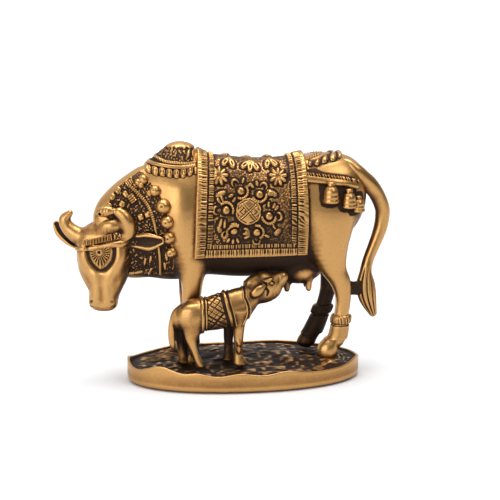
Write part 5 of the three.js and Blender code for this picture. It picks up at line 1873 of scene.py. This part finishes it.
def sky_seen(points, normals):
    """How much open sky each point faces. For each of many directions the points are sorted into
    small squares across it, and a point sees out if nothing in its square lies far beyond it."""
    golden = np.pi * (3 - np.sqrt(5))
    k = np.arange(SKY_DIRECTIONS)
    z = 1 - 2 * (k + 0.5) / SKY_DIRECTIONS
    flat = np.sqrt(1 - z * z)
    directions = np.stack([flat * np.cos(golden * k), flat * np.sin(golden * k), z], -1)
    seen, total = np.zeros(len(points)), np.zeros(len(points))
    for way in directions:
        weight = np.maximum(normals @ way, 0)
        total += weight
        if way[2] < SKY_FLOOR:
            continue
        side = unit(np.cross(way, [0.3, 0.2, 1.0] if abs(way[2]) < 0.9 else [1.0, 0, 0]))
        up = np.cross(way, side)
        a = ((points @ side) / SKY_PIXEL).astype(int)
        b = ((points @ up) / SKY_PIXEL).astype(int)
        a, b = a - a.min(), b - b.min()
        square = a * (b.max() + 1) + b
        reach = points @ way
        order = np.argsort(reach)
        furthest = np.full(square.max() + 1, -1e9)
        furthest[square[order]] = reach[order]
        seen += weight * np.clip(1 - (furthest[square] - reach - SKY_SLACK) / SKY_EDGE, 0, 1)
    return seen / np.maximum(total, 1e-6)


def relief_of(mesh, points, normals):
    """How far each point stands out of the skin round it, evened over a few millimetres."""
    ends = np.empty(len(mesh.edges) * 2, np.int32)
    mesh.edges.foreach_get("vertices", ends)
    one, two = ends.reshape(-1, 2).T
    start, stop = np.concatenate([one, two]), np.concatenate([two, one])
    share = np.maximum(np.bincount(start, minlength=len(points)), 1)[:, None]
    even = points
    for _ in range(RELIEF_ROUNDS):
        even = np.stack([np.bincount(start, even[stop, i], len(points)) for i in range(3)], -1) / share
    return ((points - even) * normals).sum(1) / RELIEF_SCALE


def beside_bells(x, z):
    """1 on the rump round each of its bells, where they shade it, and 0 elsewhere."""
    off = [
        ((x - at) / (size + 1.3)) ** 4 + ((z - top + 1.25 * size) / (1.25 * size + 1.7)) ** 4
        for at, top, size in RUMP_BELLS
    ]
    return step(1 - np.minimum.reduce(off), 0.25)


def body_shade(x, y, z, side):
    """Painted shade on the cow's body and ankle bands: under the belly between her legs, on her feet's
    hidden faces, and close by the crupper, the bells and the cloth's hind border."""
    hidden = np.clip(0.8 - 1.6 * side, 0, 1)
    over_crupper = z - height_on(CRUPPER, x)
    band_height = 3.1 + 1.6 * step(33 - x, 6)
    ragged = 1 + grain(2 * x, z, 2.0)
    patches = [
        within(x, *BELLY_ENDS, 6) * step(BELLY_TOP - z, 3),
        1.7 * step(FOREFEET_BACK - x, 3) * step(22 - z, 5) * (y > -13) * hidden,
        1.9 * step(x - HINDFOOT_FRONT, 2) * step(28 - z, 8) * (y > 0.5) * hidden,
        1.5 * within(x, 26, 50, 2) * within(over_crupper, 1.6, band_height, 0.6),
        1.9 * beside_bells(x, z) * (y < 0),
        0.7 * within(x, 25, 28.6, 1.6) * within(z, 50, 81, 4) * ragged,
    ]  # belly, forefeet, far hind foot, over the crupper, round the bells, beside the cloth
    return BODY_SHADE * np.maximum.reduce(patches)


def painted_shade_and_low_brown(name, points, normals):
    """Extra brown: painted shade on the legs' faces that look at each other and in the shaded places of the
    body, and a darkening towards the bottom of the figure, away from the head."""
    if name == "ground":
        return np.zeros(len(points))
    middle, top = CALF_MIDDLE if name.startswith("calf") else COW_MIDDLE
    side = normals[:, 1]
    inward = np.where(points[:, 1] > middle, 0.75 - 1.7 * side, 1.7 * side)
    inner = INNER_SHADE * np.clip(inward, 0, 1) * step(top - points[:, 2], 8)
    x, y, z = (points - COW_AT).T
    low = LOW_STAIN * np.clip((58 - z) / 40, 0, 1) * step(x + 44, 3)
    on_body = name == "cow_body" or "leg_bands" in name
    return np.maximum.reduce([low, inner, body_shade(x, y, z, side) if on_body else 0 * low])


brass_pieces = [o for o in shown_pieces() if o.get("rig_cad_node") is None]
all_points = [read(o.data.vertices, "co", 3) / MM for o in brass_pieces]
all_normals = [read(o.data.vertices, "normal", 3) for o in brass_pieces]
# The sky each point sees keeps the patina in recesses and paints shade on undersides and where parts shade
# each other.
sky_open_shade = sky_seen(np.concatenate(all_points), np.concatenate(all_normals))
ends = np.cumsum([len(points) for points in all_points])[:-1]
for piece, points, normals, seen in zip(brass_pieces, all_points, all_normals, np.split(sky_open_shade, ends)):
    mesh = piece.data
    give(mesh, "open", seen)
    give(mesh, "raised", np.clip(relief_of(mesh, points, normals), -1, 1))
    # Painted shade and the low darkening are added to each piece's stain here.
    stain = read(mesh.attributes["stained"].data, "value", 1)[:, 0] + painted_shade_and_low_brown(piece.name, points, normals)
    mesh.attributes["stained"].data.foreach_set("value", stain.astype(np.float32))


# The figure stands on a plain pale sweep under soft light, seen from a little above her left side and
# from about an arm's length.

VIEW_FROM = math.radians(-7)
VIEW_ABOVE = math.radians(13)
VIEW_DISTANCE = 0.7
VIEW_TARGET = Vector((0.00303, 0.000085, 0.05908))
LENS = 111.3
ROOM_DARK = 0.2
SWEEP_FROM = 0.3
FLOOR_HALF = 3.0
DARK = (0, 0, 0, 1)
PALE = (0.8, 0.8, 0.8, 1)
LIGHTS_AIM = (0, 0, 0.05)
LIGHTS = [
    ("key", (-0.6, -0.95, 0.37), (0.55, 0.7), 3.4),
    ("side", (-1.0, -0.6, 0.35), (0.5, 0.6), 2.4),
    ("top", (0.0, 0.0, 1.2), (0.9, 0.6), 12),
    ("fill", (0.6, -0.6, 0.9), (0.4, 0.5), 2.5),
]  # place, size and power

level = math.cos(VIEW_ABOVE)
back = Vector((math.sin(VIEW_FROM) * level, -math.cos(VIEW_FROM) * level, math.sin(VIEW_ABOVE)))
camera_data = bpy.data.cameras.new("camera")
camera_data.lens = LENS
camera_data.sensor_width = 36
camera_data.clip_start = 0.01
camera = placed("camera", camera_data)
camera.location = VIEW_TARGET + back * VIEW_DISTANCE
camera.rotation_euler = (-back).to_track_quat("-Z", "Y").to_euler()
bpy.context.scene.camera = camera


def pale_floor():
    """A wide floor that glows more and more behind the figure, so that no line shows where it ends."""
    mesh = bpy.data.meshes.new("floor")
    h = FLOOR_HALF
    mesh.from_pydata([(-h, -h, 0), (h, -h, 0), (h, h, 0), (-h, h, 0)], [], [(0, 1, 2, 3)])
    material = bpy.data.materials.new("pale_floor")
    tree = Tree(material)
    behind = tree.node("SeparateXYZ", {}, [tree.node("TexCoord", output=3)], output=1)
    look = {
        "Base Color": (0.8, 0.8, 0.81, 1),
        "Roughness": 0.7,
        "Emission Color": tree.blend(((behind - SWEEP_FROM) * 1.6).clamped(), DARK, PALE),
        "Emission Strength": 1.0,
    }
    tree.node("OutputMaterial", {}, [tree.node("BsdfPrincipled", {}, look)])
    mesh.materials.append(material)
    floor = placed("floor", mesh)


def soft_light(name, place, size, power):
    """A lamp as wide and high as its size, aimed at the figure."""
    light = bpy.data.lights.new(name, "AREA")
    light.shape = "RECTANGLE"
    light.size, light.size_y = size
    light.energy = power
    lamp = placed(name, light)
    lamp.location = place
    lamp.rotation_euler = (Vector(LIGHTS_AIM) - Vector(place)).to_track_quat("-Z", "Y").to_euler()


bpy.context.scene.view_settings.view_transform = "Standard"
pale_floor()
world = bpy.data.worlds.new("studio")
tree = Tree(world)
way = tree.node("TexCoord")
across, ahead, above = (tree.node("SeparateXYZ", {}, [way], output=axis) for axis in range(3))
room = ROOM_DARK + ahead.clamped() * 0.7 + above.clamped() * 0.45
room = room - across.clamped() * 0.22 + (across * -1.0).clamped() * 0.2
sky = tree.node("Background", {}, {"Color": (1.0, 0.995, 0.985, 1), "Strength": room.clamped()})
tree.node("OutputWorld", {}, [sky])
bpy.context.scene.world = world
for light in LIGHTS:
    soft_light(*light)
